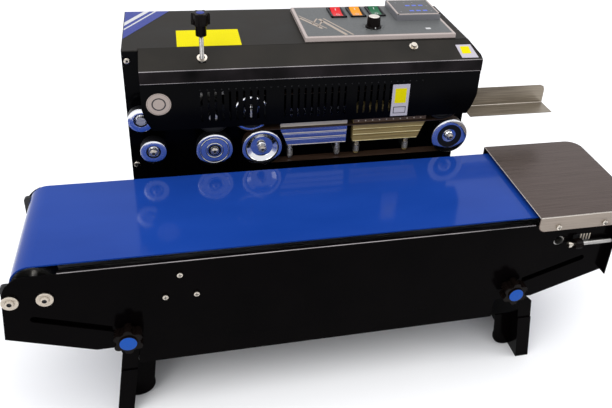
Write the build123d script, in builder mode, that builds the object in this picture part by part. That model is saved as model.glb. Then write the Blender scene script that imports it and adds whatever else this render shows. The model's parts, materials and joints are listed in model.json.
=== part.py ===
"""Continuous band sealer: a sealing head that stands behind a short belt conveyor.

Frame: +X is the way the bags travel, +Y points from the conveyor to the sealing head, +Z is up.
The origin is on the floor under the middle of the machine's bounding box.  All sizes are in mm.
"""

from build123d import *
import math
import os

os.makedirs("parts", exist_ok=True)

# ---------------------------------------------------------------- driving dimensions
sheet = 1.5  # folded steel sheet
run_gap = 0.3  # gap between a moving piece and a still one
fit_gap = 0.06  # radial running clearance of a shaft in its bore

# conveyor
deck_z = 254.0  # top edge of the conveyor's side plates
front_y = -183.0  # outer face of the front side plate
rear_y = 8.0  # outer face of the rear side plate
plate_left_x = -426.5
plate_right_x = 384.0
belt_front_y = -172.0
belt_rear_y = 0.0
belt_thick = 2.0
roller_r = 24.0
roller_z = 233.0
idler_x = -386.0
drive_x = 365.0
plate_low_z = 125.0  # straight lower edge of the side plates
backing_gap = 9.0  # from the side plate to the strip that closes the view through a slot
bevel_deg = 19.0  # slope of the lower edge at both ends
tray_low_z = 91.0
cover_left_x = 264.0
cover_right_x = 426.5
cover_top_z = 266.2

# legs, clamped by star knobs in the sloping slots
left_stud_x = -284.0
right_stud_x = 240.0
stud_z = 150.5
stud_r = 3.0
slot_w = 9.0
slot_run = 112.0  # slot length, centre to centre
leg_splay_deg = 8.0
foot_left_x = -300.5  # middle of the left foot
foot_right_x = 289.0
foot_w = 21.0
knob_front_y = -205.0

# sealing head
head_left_x = -277.0
head_right_x = 227.0
head_front_y = 48.5
head_back_y = 203.5
head_top_z = 434.0
hood_left_x = -255.0
hood_right_x = 238.0
hood_face_y = 14.5
hood_lip_y = 13.0
mech_plate_y = 50.3  # front face of the plate that carries the wheels
mech_plate_t = 3.0

# sealing train: the film passes between an upper and a lower band
film_z = 315.0
band_wheel_r = 27.2
band_thick = 0.5
wheel_front_y = 16.0
wheel_back_y = 36.0
band_front_y = 20.0
band_back_y = 35.0
shaft_r = 5.0
lower_drive_x = -90.0
lower_idler_x = 204.0
upper_drive_x = -105.0
upper_idler_x = 189.0
upper_front_y = 20.5
press_x = -158.8
press_r = 26.0
upper_press_r = 25.0
guide_r = 18.0
gear_module = 2.08
band_gear_teeth = 28
pinion_teeth = 12

# ---------------------------------------------------------------- worked-out places
band_pitch_r = band_wheel_r + run_gap + band_thick
lower_wheel_z = film_z - 0.2 - band_pitch_r
upper_wheel_z = film_z + 0.2 + band_pitch_r
press_low_z = film_z - 0.3 - press_r
press_high_z = film_z + 0.3 + upper_press_r
bevel = math.radians(bevel_deg)
splay = math.radians(leg_splay_deg)
belt_r = roller_r + run_gap + belt_thick
belt_mid_y = (belt_front_y + belt_rear_y) / 2
plate_inner_front_y = front_y + sheet
plate_inner_rear_y = rear_y - sheet
node_names = []


def save(builder, name):
    """Label a finished piece and write its STEP file."""
    builder.part.label = name
    export_step(builder.part, f"parts/{name}.step")
    node_names.append(name)


def across(y):
    """Plane whose local x is +X and local y is +Z, at depth y; its normal points to the viewer (-Y)."""
    return Plane(origin=(0, y, 0), x_dir=(1, 0, 0), z_dir=(0, -1, 0))


def side(x):
    """Plane whose local x is +Y and local y is +Z, at x; its normal is +X."""
    return Plane(origin=(x, 0, 0), x_dir=(0, 1, 0), z_dir=(1, 0, 0))


def slot_ends(stud_x, way):
    """The two centres of a sloping slot that runs outboard and up from a stud."""
    rise = slot_run * math.sin(bevel)
    run = slot_run * math.cos(bevel)
    return (stud_x, stud_z), (stud_x + way * run, stud_z + rise)


def slot_band(stud_x, way, from_run, to_run, below, above):
    """Sloping rectangle in slot directions: along the slot from the stud, and across it."""
    corners = ((from_run, below), (to_run, below), (to_run, above), (from_run, above))
    Polygon(
        *[
            (
                stud_x + way * (run * math.cos(bevel) - rise * math.sin(bevel)),
                stud_z + run * math.sin(bevel) + rise * math.cos(bevel),
            )
            for run, rise in corners
        ],
        align=None,
    )


# ---------------------------------------------------------------- conveyor side plates
idler_screws = [(-412.0, 218.0), (-373.5, 218.0)]
tie_screws = [(-217.0, 234.0), (-236.0, 201.0), (-198.0, 201.0)]
tie_places = tie_screws
tie_hole = (302.5, 222.0)
cover_screws = [(294.5, 249.0), (366.0, 249.5)]
window = (322.5, 352.0, 212.0, 231.0)  # x from, x to, z from, z to
end_flange_y = 12.0
takeup_z = 219.0

bevel_left_x = plate_left_x + (160.0 - plate_low_z) / math.tan(bevel)
bevel_right_x = plate_right_x - (161.5 - plate_low_z) / math.tan(bevel)


def side_plate(outer_y, inward):
    """Conveyor side plate; inward is +1 for the front plate and -1 for the rear one."""
    inner_y = outer_y + inward * sheet
    low_y = min(outer_y, inner_y)
    with BuildPart() as plate:
        with BuildSketch(across(low_y)):
            with BuildLine():
                nose = ThreePointArc((-399.0, 252.5), (-414.5, 240.0), (-421.0, 221.0))
                Polyline(
                    nose @ 1,
                    (plate_left_x, 160.0),
                    (bevel_left_x, plate_low_z),
                    (bevel_right_x, plate_low_z),
                    (plate_right_x, 161.5),
                    (plate_right_x, 252.5),
                    nose @ 0,
                )
            make_face()
        extrude(amount=-sheet)
        # folded top flange between the idler and the end cover
        flange_x = (-357.0, cover_left_x - 3.0)
        flange_w = 5.0
        with Locations(
            (
                (flange_x[0] + flange_x[1]) / 2,
                outer_y + inward * flange_w / 2,
                deck_z - sheet / 2,
            )
        ):
            Box(flange_x[1] - flange_x[0], flange_w, sheet)
        with Locations(((flange_x[0] + flange_x[1]) / 2, (outer_y + inner_y) / 2, deck_z - 2.5)):
            Box(flange_x[1] - flange_x[0], sheet, 5.0)
        # outward flange at the discharge end, where the take-up screw pulls
        with Locations(
            (
                plate_right_x - sheet / 2,
                outer_y - inward * end_flange_y / 2 + inward * sheet / 2,
                200.0,
            )
        ):
            Box(sheet, end_flange_y + sheet, 77.0)
        with BuildSketch(across(low_y)):
            for stud_x, way in ((left_stud_x, -1), (right_stud_x, 1)):
                start, end = slot_ends(stud_x, way)
                middle = ((start[0] + end[0]) / 2, (start[1] + end[1]) / 2)
                with Locations(middle):
                    SlotCenterToCenter(slot_run, slot_w, rotation=way * bevel_deg)
            with Locations(*idler_screws, *tie_places):
                Circle(2.7)
            with Locations(*cover_screws):
                Circle(2.2)
            with Locations(tie_hole):
                Circle(8.0)
            with Locations(((window[0] + window[1]) / 2, (window[2] + window[3]) / 2)):
                Rectangle(window[1] - window[0], window[3] - window[2])
        extrude(amount=-sheet, mode=Mode.SUBTRACT)
        with BuildSketch(side(plate_right_x)):
            with Locations((outer_y - inward * 6.0, takeup_z)):
                Circle(2.8)
        extrude(amount=-2 * sheet, mode=Mode.SUBTRACT)
        # backing strip behind each slot, on two spacers that the leg passes between
        for stud_x, way in ((left_stud_x, -1), (right_stud_x, 1)):
            strip_y = inner_y + inward * backing_gap
            with BuildSketch(across(min(strip_y, strip_y + inward * sheet))):
                slot_band(stud_x, way, -32.0, 134.0, -19.0, 8.0)
            extrude(amount=-sheet)
            with BuildSketch(across(min(inner_y, strip_y))):
                slot_band(stud_x, way, -32.0, -26.0, -4.0, 8.0)
                slot_band(stud_x, way, 126.0, 134.0, -12.0, 8.0)
            extrude(amount=-backing_gap)
    return plate


conveyor_front_plate = side_plate(front_y, 1)
save(conveyor_front_plate, "conveyor_front_plate")
conveyor_rear_plate = side_plate(rear_y, -1)
save(conveyor_rear_plate, "conveyor_rear_plate")

# ---------------------------------------------------------------- conveyor belt and what carries it
with BuildPart() as conveyor_belt:
    with BuildSketch(across(belt_front_y)):
        with Locations(((idler_x + drive_x) / 2, roller_z)):
            SlotCenterToCenter(drive_x - idler_x, 2 * belt_r)
            SlotCenterToCenter(drive_x - idler_x, 2 * (belt_r - belt_thick), mode=Mode.SUBTRACT)
    extrude(amount=-(belt_rear_y - belt_front_y))
save(conveyor_belt, "conveyor_belt")

bed_top_z = roller_z + roller_r
bed_ends = (idler_x + roller_r + 6.0, drive_x - roller_r - 6.0)
with BuildPart() as belt_bed:
    with BuildSketch(side(bed_ends[0])):
        with Locations((belt_mid_y, bed_top_z - sheet / 2)):
            Rectangle(168.0, sheet)
        for y in (belt_mid_y - 84.0 + sheet / 2, belt_mid_y + 84.0 - sheet / 2):
            with Locations((y, bed_top_z - 7.0)):
                Rectangle(sheet, 14.0)
    extrude(amount=bed_ends[1] - bed_ends[0])
save(belt_bed, "belt_bed")


def roller(x):
    """Tube roller with a recessed web at each end, turning on its own journals."""
    journal_r = 6.0
    with BuildPart() as drum:
        with BuildSketch(across(belt_front_y + 0.5)):
            with Locations((x, roller_z)):
                Circle(roller_r)
                Circle(roller_r - 3.5, mode=Mode.SUBTRACT)
        extrude(amount=-(belt_rear_y - belt_front_y - 1.0))
        for web_y in (belt_front_y + 12.0, belt_rear_y - 20.0):
            with BuildSketch(across(web_y)):
                with Locations((x, roller_z)):
                    Circle(roller_r - 3.0)
            extrude(amount=-8.0)
        with BuildSketch(across(plate_inner_front_y + run_gap)):
            with Locations((x, roller_z)):
                Circle(journal_r)
        extrude(amount=-(plate_inner_rear_y - plate_inner_front_y - 2 * run_gap))
    return drum


conveyor_idler_roller = roller(idler_x)
save(conveyor_idler_roller, "conveyor_idler_roller")
conveyor_drive_roller = roller(drive_x)
save(conveyor_drive_roller, "conveyor_drive_roller")

# axle blocks: fixed ones at the idler, sliding take-up ones with an outboard lug at the drive roller
block_t = 5.4
lug_x = (325.0, 334.0)
lug_y = 10.0
with BuildPart() as axle_blocks:
    for y in (plate_inner_front_y, plate_inner_rear_y - block_t):
        with BuildSketch(across(y)):
            with Locations(((idler_screws[0][0] + idler_screws[1][0]) / 2 - 1.0, 226.0)):
                RectangleRounded(54.0, 30.0, 5.0)
            with Locations((idler_x, roller_z)):
                Circle(6.0 + fit_gap, mode=Mode.SUBTRACT)
            with Locations(*idler_screws):
                Circle(2.7, mode=Mode.SUBTRACT)
        extrude(amount=-block_t)
        with BuildSketch(across(y)):
            with Locations(((lug_x[0] + drive_x + 15.0) / 2, 226.0)):
                RectangleRounded(drive_x + 15.0 - lug_x[0], 30.0, 3.0)
            with Locations((drive_x, roller_z)):
                Circle(6.0 + fit_gap, mode=Mode.SUBTRACT)
            with Locations((372.0, 215.0)):
                Circle(3.0, mode=Mode.SUBTRACT)
        extrude(amount=-block_t)
    for y in (front_y - lug_y / 2 + sheet / 2, rear_y + lug_y / 2 - sheet / 2):
        with Locations(((lug_x[0] + lug_x[1]) / 2, y, takeup_z)):
            Box(lug_x[1] - lug_x[0], lug_y + sheet, 11.0)
    for y in (front_y - 6.0, rear_y + 6.0):
        with BuildSketch(side(lug_x[0])):
            with Locations((y, takeup_z)):
                Circle(2.55)
        extrude(amount=lug_x[1] - lug_x[0], mode=Mode.SUBTRACT)
save(axle_blocks, "axle_blocks")

with BuildPart() as tie_rods:
    for x, z in tie_places:
        with BuildSketch(across(plate_inner_front_y)):
            with Locations((x, z)):
                Circle(4.5)
                Circle(2.6, mode=Mode.SUBTRACT)
        extrude(amount=-(plate_inner_rear_y - plate_inner_front_y))
    with BuildSketch(across(plate_inner_front_y)):
        with Locations(tie_hole):
            Circle(9.5)
            Circle(6.5, mode=Mode.SUBTRACT)
    extrude(amount=-(plate_inner_rear_y - plate_inner_front_y))
save(tie_rods, "tie_rods")

# lower tray between the legs: a channel that stiffens the frame
tray_x = (-262.0, 222.0)
tray_front_y = plate_inner_front_y + 0.2
tray_rear_y = plate_inner_rear_y - 0.2
with BuildPart() as conveyor_tray:
    with BuildSketch(side(tray_x[0])):
        with Locations(((tray_front_y + tray_rear_y) / 2, tray_low_z + 22.0)):
            Rectangle(tray_rear_y - tray_front_y, 44.0)
            with Locations((0, sheet)):
                Rectangle(tray_rear_y - tray_front_y - 2 * sheet, 44.0, mode=Mode.SUBTRACT)
    extrude(amount=tray_x[1] - tray_x[0])
save(conveyor_tray, "conveyor_tray")

# stainless cover over the discharge end, with a rounded corner at the rear
cover_front_y = front_y - sheet - 0.2
cover_rear_y = rear_y + sheet + 0.2
cover_flange_z = 242.5
with BuildPart() as end_cover:
    for inset, height in ((0.0, cover_top_z - cover_flange_z), (sheet, cover_top_z - cover_flange_z - sheet)):
        with BuildSketch(Plane.XY.offset(cover_flange_z)) as footprint:
            with BuildLine():
                left = cover_left_x - inset
                right = cover_right_x - inset
                near = cover_front_y + inset
                far = cover_rear_y - inset
                Line((left, near), (right - 5.0, near))
                RadiusArc((right - 5.0, near), (right, near + 5.0), -5.0)
                Line((right, near + 5.0), (right, far - 22.0 + inset))
                RadiusArc((right, far - 22.0 + inset), (right - 22.0 + inset, far), -22.0 + inset)
                Line((right - 22.0 + inset, far), (left, far))
                Line((left, far), (left, near))
            make_face()
        extrude(amount=height, mode=Mode.SUBTRACT if inset else Mode.ADD)
    with BuildSketch(across(cover_front_y - 1.0)):
        with Locations(*cover_screws):
            Circle(2.2)
    extrude(amount=-(cover_rear_y - cover_front_y + 2.0), mode=Mode.SUBTRACT)
    low_corners = end_cover.edges().filter_by(Axis.Y).group_by(Axis.Z)[0].group_by(Axis.X)[0]
    fillet(low_corners, 11.0)
save(end_cover, "end_cover")

with BuildPart() as conveyor_screws:
    for y, way in ((front_y, -1), (rear_y, 1)):
        for x, z in idler_screws:
            with BuildSketch(across(y)):
                with Locations((x, z)):
                    Circle(9.9)
            extrude(amount=-way * 2.2)
            with BuildSketch(across(y)):
                with Locations((x, z)):
                    Circle(2.5)
            extrude(amount=way * (sheet + block_t - 1.0))
        for x, z in tie_places:
            with BuildSketch(across(y)):
                with Locations((x, z)):
                    Circle(3.5)
            extrude(amount=-way * 2.4)
            with BuildSketch(across(y)):
                with Locations((x, z)):
                    Circle(2.5)
            extrude(amount=way * 12.0)
    for y, way in ((cover_front_y, -1), (cover_rear_y, 1)):
        for x, z in cover_screws:
            with BuildSketch(across(y)):
                with Locations((x, z)):
                    Circle(4.0)
            extrude(amount=-way * 2.2)
            with BuildSketch(across(y)):
                with Locations((x, z)):
                    Circle(2.0)
            extrude(amount=way * 6.0)
    # take-up screws of the drive roller, with hexagon heads against the end flanges
    for y in (front_y - 6.0, rear_y + 6.0):
        with BuildSketch(side(318.0)):
            with Locations((y, takeup_z)):
                Circle(2.5)
        extrude(amount=plate_right_x + 10.0 - 318.0)
        with BuildSketch(side(plate_right_x + 0.1)):
            with Locations((y, takeup_z)):
                RegularPolygon(4.4, 6)
        extrude(amount=4.0)
save(conveyor_screws, "conveyor_screws")

# ---------------------------------------------------------------- legs and star knobs
leg_sheet = 2.0
leg_top_z = 166.0
leg_front_y = plate_inner_front_y + run_gap
leg_rear_y = plate_inner_rear_y - run_gap
leg_fold_z = 81.0
gusset_y = front_y + 27.0


def leg(foot_x, stud_x, way):
    """Folded leg: a splayed web along Y with outboard flanges; way is -1 at the left, +1 at the right."""
    lean = math.tan(splay)
    web_x = foot_x - way * foot_w / 2

    def at(x, z):
        """Point of the leaning leg at height z, for a foot coordinate x."""
        return (x - way * lean * z, z)

    inner = web_x
    outer = foot_x + way * foot_w / 2
    with BuildPart() as body:
        with BuildSketch(across(leg_front_y)):
            Polygon(
                at(inner, 0),
                at(inner + way * leg_sheet, 0),
                at(inner + way * leg_sheet, leg_top_z - 44.0),
                at(inner, leg_top_z - 44.0),
                align=None,
            )
        extrude(amount=-(leg_rear_y - leg_front_y))
        for y in (leg_front_y, leg_rear_y - leg_sheet):
            with BuildSketch(across(y)):
                Polygon(
                    at(inner, 0),
                    at(outer, 0),
                    at(outer, 112.0),
                    (stud_x + way * 19.0, stud_z - 14.0),
                    (stud_x + way * 19.0, leg_top_z - 4.0),
                    (stud_x + way * 15.0, leg_top_z),
                    (stud_x - way * 15.0, leg_top_z),
                    (stud_x - way * 19.0, leg_top_z - 4.0),
                    at(inner, 112.0),
                    align=None,
                )
                with Locations((stud_x, stud_z)):
                    Circle(stud_r + fit_gap, mode=Mode.SUBTRACT)
            extrude(amount=-leg_sheet)
        # lower front facing, stepped out flush with the side plate below its edge
        with BuildSketch(across(front_y)):
            Polygon(
                at(inner, 0),
                at(outer, 0),
                at(outer, leg_fold_z),
                at(inner, leg_fold_z),
                align=None,
            )
        extrude(amount=-(leg_front_y - front_y + 0.5))
        # inner gusset with a rounded end that steadies the web
        with BuildSketch(across(gusset_y)):
            with BuildLine():
                Polyline(
                    at(inner + way * leg_sheet / 2, 66.0),
                    at(inner - way * 24.0, 66.0),
                    at(inner - way * 25.0, 32.0),
                )
                ThreePointArc(
                    at(inner - way * 25.0, 32.0),
                    at(inner - way * 17.0, 5.0),
                    at(inner + way * leg_sheet / 2, 3.0),
                )
                Line(
                    at(inner + way * leg_sheet / 2, 3.0),
                    at(inner + way * leg_sheet / 2, 66.0),
                )
            make_face()
        extrude(amount=-leg_sheet)
    return body


left_leg = leg(foot_left_x, left_stud_x, -1)
save(left_leg, "left_leg")
right_leg = leg(foot_right_x, right_stud_x, 1)
save(right_leg, "right_leg")


def star_outline(centre, root_r, lobe_r, lobes):
    """Star grip seen end on: a root circle with round lobes."""
    with Locations(centre):
        Circle(root_r)
        with PolarLocations(root_r - 1.0, lobes, start_angle=90):
            Circle(lobe_r)


def leg_knob(stud_x):
    """Star knob with a steel stud that clamps a leg; its grip is outside the side plate."""
    grip_t = 15.0
    collar_y = knob_front_y + grip_t + 1.5
    with BuildPart() as knob:
        with BuildSketch(across(knob_front_y + 1.5)):
            star_outline((stud_x, stud_z), 14.5, 5.4, 6)
        extrude(amount=-grip_t)
        with BuildSketch(across(knob_front_y)):
            with Locations((stud_x, stud_z)):
                Circle(11.0)
        extrude(amount=-3.0)
        with BuildSketch(across(collar_y)):
            with Locations((stud_x, stud_z)):
                Circle(9.0)
        extrude(amount=-(front_y - run_gap - collar_y))
        with BuildSketch(across(collar_y)):
            with Locations((stud_x, stud_z)):
                Circle(stud_r)
        extrude(amount=-(leg_front_y + leg_sheet + 2.7 - collar_y))
    return knob


left_leg_knob = leg_knob(left_stud_x)
save(left_leg_knob, "left_leg_knob")
right_leg_knob = leg_knob(right_stud_x)
save(right_leg_knob, "right_leg_knob")

# ---------------------------------------------------------------- head casing
base_z = 12.0
side_bolts_z = (420.0, 256.0)
side_bolt_x = head_left_x + 7.0
flange_w = 20.5
upper_guide_place = (-257.5, 341.0)
fold_y = 55.0  # fold between the flat top and the hood's sloping strip
hood_tab = (40.0, 284.0, 318.0)  # rear y, low z and high z of the right side plate's front tab

vent_rows = [150.0 + 11.0 * k for k in range(6)]
inlet_place = (-200.0, 80.0)
with BuildPart() as head_casing:
    with BuildSketch(Plane.XY.offset(base_z + sheet)):
        with BuildLine():
            Polyline(
                (head_left_x + flange_w, head_front_y),
                (head_left_x, head_front_y),
                (head_left_x, head_back_y),
                (head_right_x, head_back_y),
                (head_right_x, mech_plate_y + mech_plate_t + 0.2),
                (head_right_x - sheet, mech_plate_y + mech_plate_t + 0.2),
                (head_right_x - sheet, head_back_y - sheet),
                (head_left_x + sheet, head_back_y - sheet),
                (head_left_x + sheet, head_front_y + sheet),
                (head_left_x + flange_w, head_front_y + sheet),
                (head_left_x + flange_w, head_front_y),
            )
        make_face()
    extrude(amount=head_top_z - sheet - base_z - sheet)
    with BuildSketch(across(head_front_y)):
        with Locations(*[(side_bolt_x, z) for z in side_bolts_z]):
            Circle(2.1)
        with Locations(upper_guide_place):
            Circle(shaft_r + 0.1)
    extrude(amount=-sheet, mode=Mode.SUBTRACT)
    # relief under the rear edge of the hood's strip
    with Locations((head_right_x - 1.0, fold_y - 1.0, head_top_z - 2.5)):
        Box(4.0, 3.0, 4.0, mode=Mode.SUBTRACT)
    with BuildSketch(side(head_right_x)):
        with Locations(*[(125.0, z) for z in vent_rows]):
            SlotOverall(70.0, 4.0)
    extrude(amount=-sheet, mode=Mode.SUBTRACT)
    with BuildSketch(across(head_back_y)):
        with Locations(*[(x, z + 100.0) for x in (-160.0, 110.0) for z in vent_rows]):
            SlotOverall(90.0, 4.5)
        with Locations(inlet_place):
            Rectangle(28.0, 20.0)
    extrude(amount=sheet, mode=Mode.SUBTRACT)
save(head_casing, "head_casing")

# shaft, post and pin places on the mechanism plate
shaft_places = {
    "lower_drive": (lower_drive_x, lower_wheel_z),
    "upper_drive": (upper_drive_x, upper_wheel_z),
    "press": (press_x, press_low_z),
}
post_places = {
    "lower_idler": (lower_idler_x, lower_wheel_z),
    "upper_idler": (upper_idler_x, upper_wheel_z),
    "lower_guide": (-244.0, 292.0),
    "upper_guide": upper_guide_place,
}
pinion_place = (lower_drive_x, lower_wheel_z - gear_module * (band_gear_teeth + pinion_teeth) / 2 - 0.1)
bench_holes = [(-250.0, 75.0), (200.0, 75.0), (-250.0, 175.0), (200.0, 175.0)]
foot_places = [(-235.0, 75.0), (185.0, 75.0), (-235.0, 175.0), (185.0, 175.0)]

with BuildPart() as mechanism_plate:
    with BuildSketch(across(mech_plate_y)):
        with BuildLine():
            Polyline(
                (head_left_x + sheet + 0.5, base_z + sheet),
                (head_right_x, base_z + sheet),
                (head_right_x, 262.0),
                (hood_right_x - sheet, 284.0),
                (hood_right_x - sheet, 330.0),
                (head_right_x, 340.0),
                (head_right_x, head_top_z - 4.5),
                (hood_left_x - 1.0, head_top_z - 4.5),
                (hood_left_x - 1.0, head_top_z - sheet),
                (head_left_x + sheet + 0.5, head_top_z - sheet),
                (head_left_x + sheet + 0.5, base_z + sheet),
            )
        make_face()
        with Locations(*shaft_places.values()):
            Circle(shaft_r + 1.0, mode=Mode.SUBTRACT)
        with Locations(*post_places.values()):
            Circle(4.0, mode=Mode.SUBTRACT)
        with Locations(*[(side_bolt_x, z) for z in side_bolts_z]):
            Circle(2.1, mode=Mode.SUBTRACT)
    extrude(amount=-mech_plate_t)
save(mechanism_plate, "mechanism_plate")

with BuildPart() as head_base:
    with BuildSketch(Plane.XY.offset(base_z)):
        with Locations(((head_left_x + head_right_x) / 2, (head_front_y + head_back_y) / 2)):
            Rectangle(head_right_x - head_left_x, head_back_y - head_front_y)
        with Locations(*bench_holes):
            Circle(3.5, mode=Mode.SUBTRACT)
        with Locations(*foot_places):
            Circle(3.1, mode=Mode.SUBTRACT)
    extrude(amount=sheet)
save(head_base, "head_base")

with BuildPart() as rubber_feet:
    for x, y in foot_places:
        with BuildSketch(Plane.XY):
            with Locations((x, y)):
                Circle(11.0)
        extrude(amount=base_z, taper=6)
        with BuildSketch(Plane.XY.offset(base_z)):
            with Locations((x, y)):
                Circle(3.0)
        extrude(amount=6.0)
save(rubber_feet, "rubber_feet")

panel_x = (-23.0, 209.0)
panel_y = (58.0, 189.0)
panel_rise = 7.5
switch_places = [(45.0, 156.5), (76.5, 157.0), (108.5, 158.5)]
switch_size = (23.0, 40.0)
speed_place = (88.0, 93.0)
controller_x = (133.0, 204.0)
controller_y = (117.0, 186.0)

with BuildPart() as head_top:
    with BuildSketch(Plane.XY.offset(head_top_z - sheet)):
        with Locations(((head_left_x + head_right_x) / 2, (head_front_y + head_back_y) / 2)):
            Rectangle(head_right_x - head_left_x, head_back_y - head_front_y)
        with Locations(((panel_x[0] + panel_x[1]) / 2, (panel_y[0] + panel_y[1]) / 2)):
            Rectangle(panel_x[1] - panel_x[0] - 16.0, panel_y[1] - panel_y[0] - 16.0, mode=Mode.SUBTRACT)
        # step at the front where the hood's strip takes over
        Polygon(
            (hood_left_x - 0.3, head_front_y - 1.0),
            (head_right_x + 1.0, head_front_y - 1.0),
            (head_right_x + 1.0, fold_y + 0.2),
            (hood_left_x - 0.3, fold_y + 0.2),
            align=None,
            mode=Mode.SUBTRACT,
        )
    extrude(amount=sheet)
save(head_top, "head_top")

# front hood: sloping top strip, lip, slotted upright face with cut lower corners
hood_lip_z = 417.5
hood_step_z = 399.0
hood_low_z = 327.0
hood_cut = (13.0, 38.0)  # width and height of the cut at each lower corner
vent_pitch = 9.8
vent_starts = (-174.5, -57.7, 50.2)
vents_per_group = (10, 10, 8)
vent_z = (337.0, 383.0)
rod_place = (-170.5, 34.5)
hood_screw_x = 137.0

with BuildPart() as front_hood:
    with BuildSketch(side(hood_left_x)):
        with BuildLine():
            Polyline(
                (fold_y, head_top_z - 0.1),
                (hood_lip_y + 1.0, hood_lip_z),
                (hood_lip_y, hood_lip_z - 1.5),
                (hood_lip_y, hood_step_z),
                (hood_face_y, hood_step_z - 1.5),
                (hood_face_y, hood_low_z),
                (hood_face_y + sheet, hood_low_z),
                (hood_face_y + sheet, hood_lip_z - 2.5),
                (fold_y, head_top_z - 0.1 - sheet),
                (fold_y, head_top_z - 0.1),
            )
        make_face()
    extrude(amount=hood_right_x - hood_left_x)
    with BuildSketch(across(0)):
        for corner_x, way in ((hood_left_x, 1), (hood_right_x, -1)):
            Polygon(
                (corner_x - way, hood_low_z - 1.0),
                (corner_x + way * hood_cut[0], hood_low_z - 1.0),
                (corner_x + way * hood_cut[0] * 0.42, hood_low_z + hood_cut[1] * 0.36),
                (corner_x + way * hood_cut[0] * 0.1, hood_low_z + hood_cut[1] * 0.72),
                (corner_x - way, hood_low_z + hood_cut[1]),
                align=None,
            )
        for start, count in zip(vent_starts, vents_per_group):
            with Locations(*[(start + k * vent_pitch, (vent_z[0] + vent_z[1]) / 2) for k in range(count)]):
                SlotOverall(vent_z[1] - vent_z[0], 3.0, rotation=90)
    extrude(amount=-45.0, mode=Mode.SUBTRACT)
    with BuildSketch(Plane.XY.offset(410.0)):
        with Locations(rod_place):
            SlotOverall(16.0, 9.0, rotation=90)
    extrude(amount=25.0, mode=Mode.SUBTRACT)
    # the strip's right end runs back to the corner of the head
    with BuildSketch(Plane.XY.offset(405.0)):
        Polygon(
            (head_right_x + 0.3, fold_y + 1.0),
            (hood_right_x + 1.0, 20.0),
            (hood_right_x + 1.0, fold_y + 1.0),
            align=None,
        )
    extrude(amount=31.0, mode=Mode.SUBTRACT)
    # side gussets that carry the hood's strip back to the head
    for x, far_z in ((hood_left_x, 430.3), (hood_right_x - sheet, 404.5)):
        with BuildSketch(side(x)):
            Polygon(
                (head_front_y - 0.2, far_z),
                (hood_face_y + sheet, min(far_z, hood_lip_z - 3.0)),
                (hood_face_y + sheet, hood_step_z - 8.0),
                (head_front_y - 0.2, hood_step_z - 2.0),
                align=None,
            )
        extrude(amount=sheet)
save(front_hood, "front_hood")

with BuildPart() as head_screws:
    for z in side_bolts_z:
        with BuildSketch(across(head_front_y)):
            with Locations((side_bolt_x, z)):
                Circle(4.2)
        extrude(amount=3.0)
        with BuildSketch(across(head_front_y)):
            with Locations((side_bolt_x, z)):
                Circle(2.0)
        extrude(amount=-8.0)
    strip = Plane(origin=(hood_screw_x, 42.0, 428.7), x_dir=(1, 0, 0), z_dir=(0, -0.371, 0.929))
    with BuildSketch(strip):
        Circle(6.5)
    extrude(amount=1.4)
    with BuildSketch(strip.offset(1.4)):
        Circle(4.3)
    extrude(amount=4.0)
save(head_screws, "head_screws")

# stainless angle at the discharge side that steers the sealed edge away
guide_x = (hood_right_x + 0.5, 380.0)
guide_y = (25.0, 61.2)
guide_top_z = film_z + 31.5
with BuildPart() as outfeed_guide:
    with Locations(((guide_x[0] + guide_x[1]) / 2, (guide_y[0] + guide_y[1]) / 2, film_z - 0.6)):
        Box(guide_x[1] - guide_x[0], guide_y[1] - guide_y[0], 1.2)
    with BuildSketch(across(guide_y[1] - 1.2)):
        Polygon(
            (head_right_x + 0.1, film_z + 2.0),
            (guide_x[0], film_z + 2.0),
            (guide_x[0], film_z - 1.2),
            (guide_x[1], film_z - 1.2),
            (guide_x[1], guide_top_z - 8.0),
            (guide_x[1] - 2.4, guide_top_z - 2.4),
            (guide_x[1] - 8.0, guide_top_z),
            (head_right_x + 0.1, guide_top_z),
            align=None,
        )
    extrude(amount=-1.2)
    with Locations((head_right_x + 0.7, 70.0, film_z + 17.0)):
        Box(1.2, 18.0, 26.0)
save(outfeed_guide, "outfeed_guide")

# brackets that hold the conveyor to the head
with BuildPart() as head_brackets:
    for x in (-140.0, 100.0):
        with Locations((x, (rear_y + mech_plate_y) / 2, 190.0)):
            Box(40.0, mech_plate_y - rear_y, 26.0)
        with Locations((x, (rear_y + mech_plate_y) / 2, 193.0)):
            Box(34.0, mech_plate_y - rear_y - 6.0, 26.0, mode=Mode.SUBTRACT)
save(head_brackets, "head_brackets")

# ---------------------------------------------------------------- control panel
with BuildPart() as control_panel:
    with Locations(
        (
            (panel_x[0] + panel_x[1]) / 2,
            (panel_y[0] + panel_y[1]) / 2,
            head_top_z + panel_rise / 2,
        )
    ):
        Box(panel_x[1] - panel_x[0], panel_y[1] - panel_y[0], panel_rise)
        Box(panel_x[1] - panel_x[0] - 5.0, panel_y[1] - panel_y[0] - 5.0, panel_rise - 4.0, mode=Mode.SUBTRACT)
    with BuildSketch(Plane.XY.offset(head_top_z)):
        with Locations(((panel_x[0] + panel_x[1]) / 2, (panel_y[0] + panel_y[1]) / 2)):
            Rectangle(panel_x[1] - panel_x[0] - 16.0, panel_y[1] - panel_y[0] - 16.0)
    extrude(amount=2.0, mode=Mode.SUBTRACT)
    with BuildSketch(Plane.XY.offset(head_top_z + panel_rise)):
        with Locations(*switch_places):
            Rectangle(switch_size[0] - 2.0, switch_size[1] - 2.0)
        with Locations(speed_place):
            Circle(4.2)
        with Locations(((controller_x[0] + controller_x[1]) / 2, (controller_y[0] + controller_y[1]) / 2)):
            Rectangle(controller_x[1] - controller_x[0] - 13.0, controller_y[1] - controller_y[0] - 13.0)
    extrude(amount=-3.0, mode=Mode.SUBTRACT)
save(control_panel, "control_panel")

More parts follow.
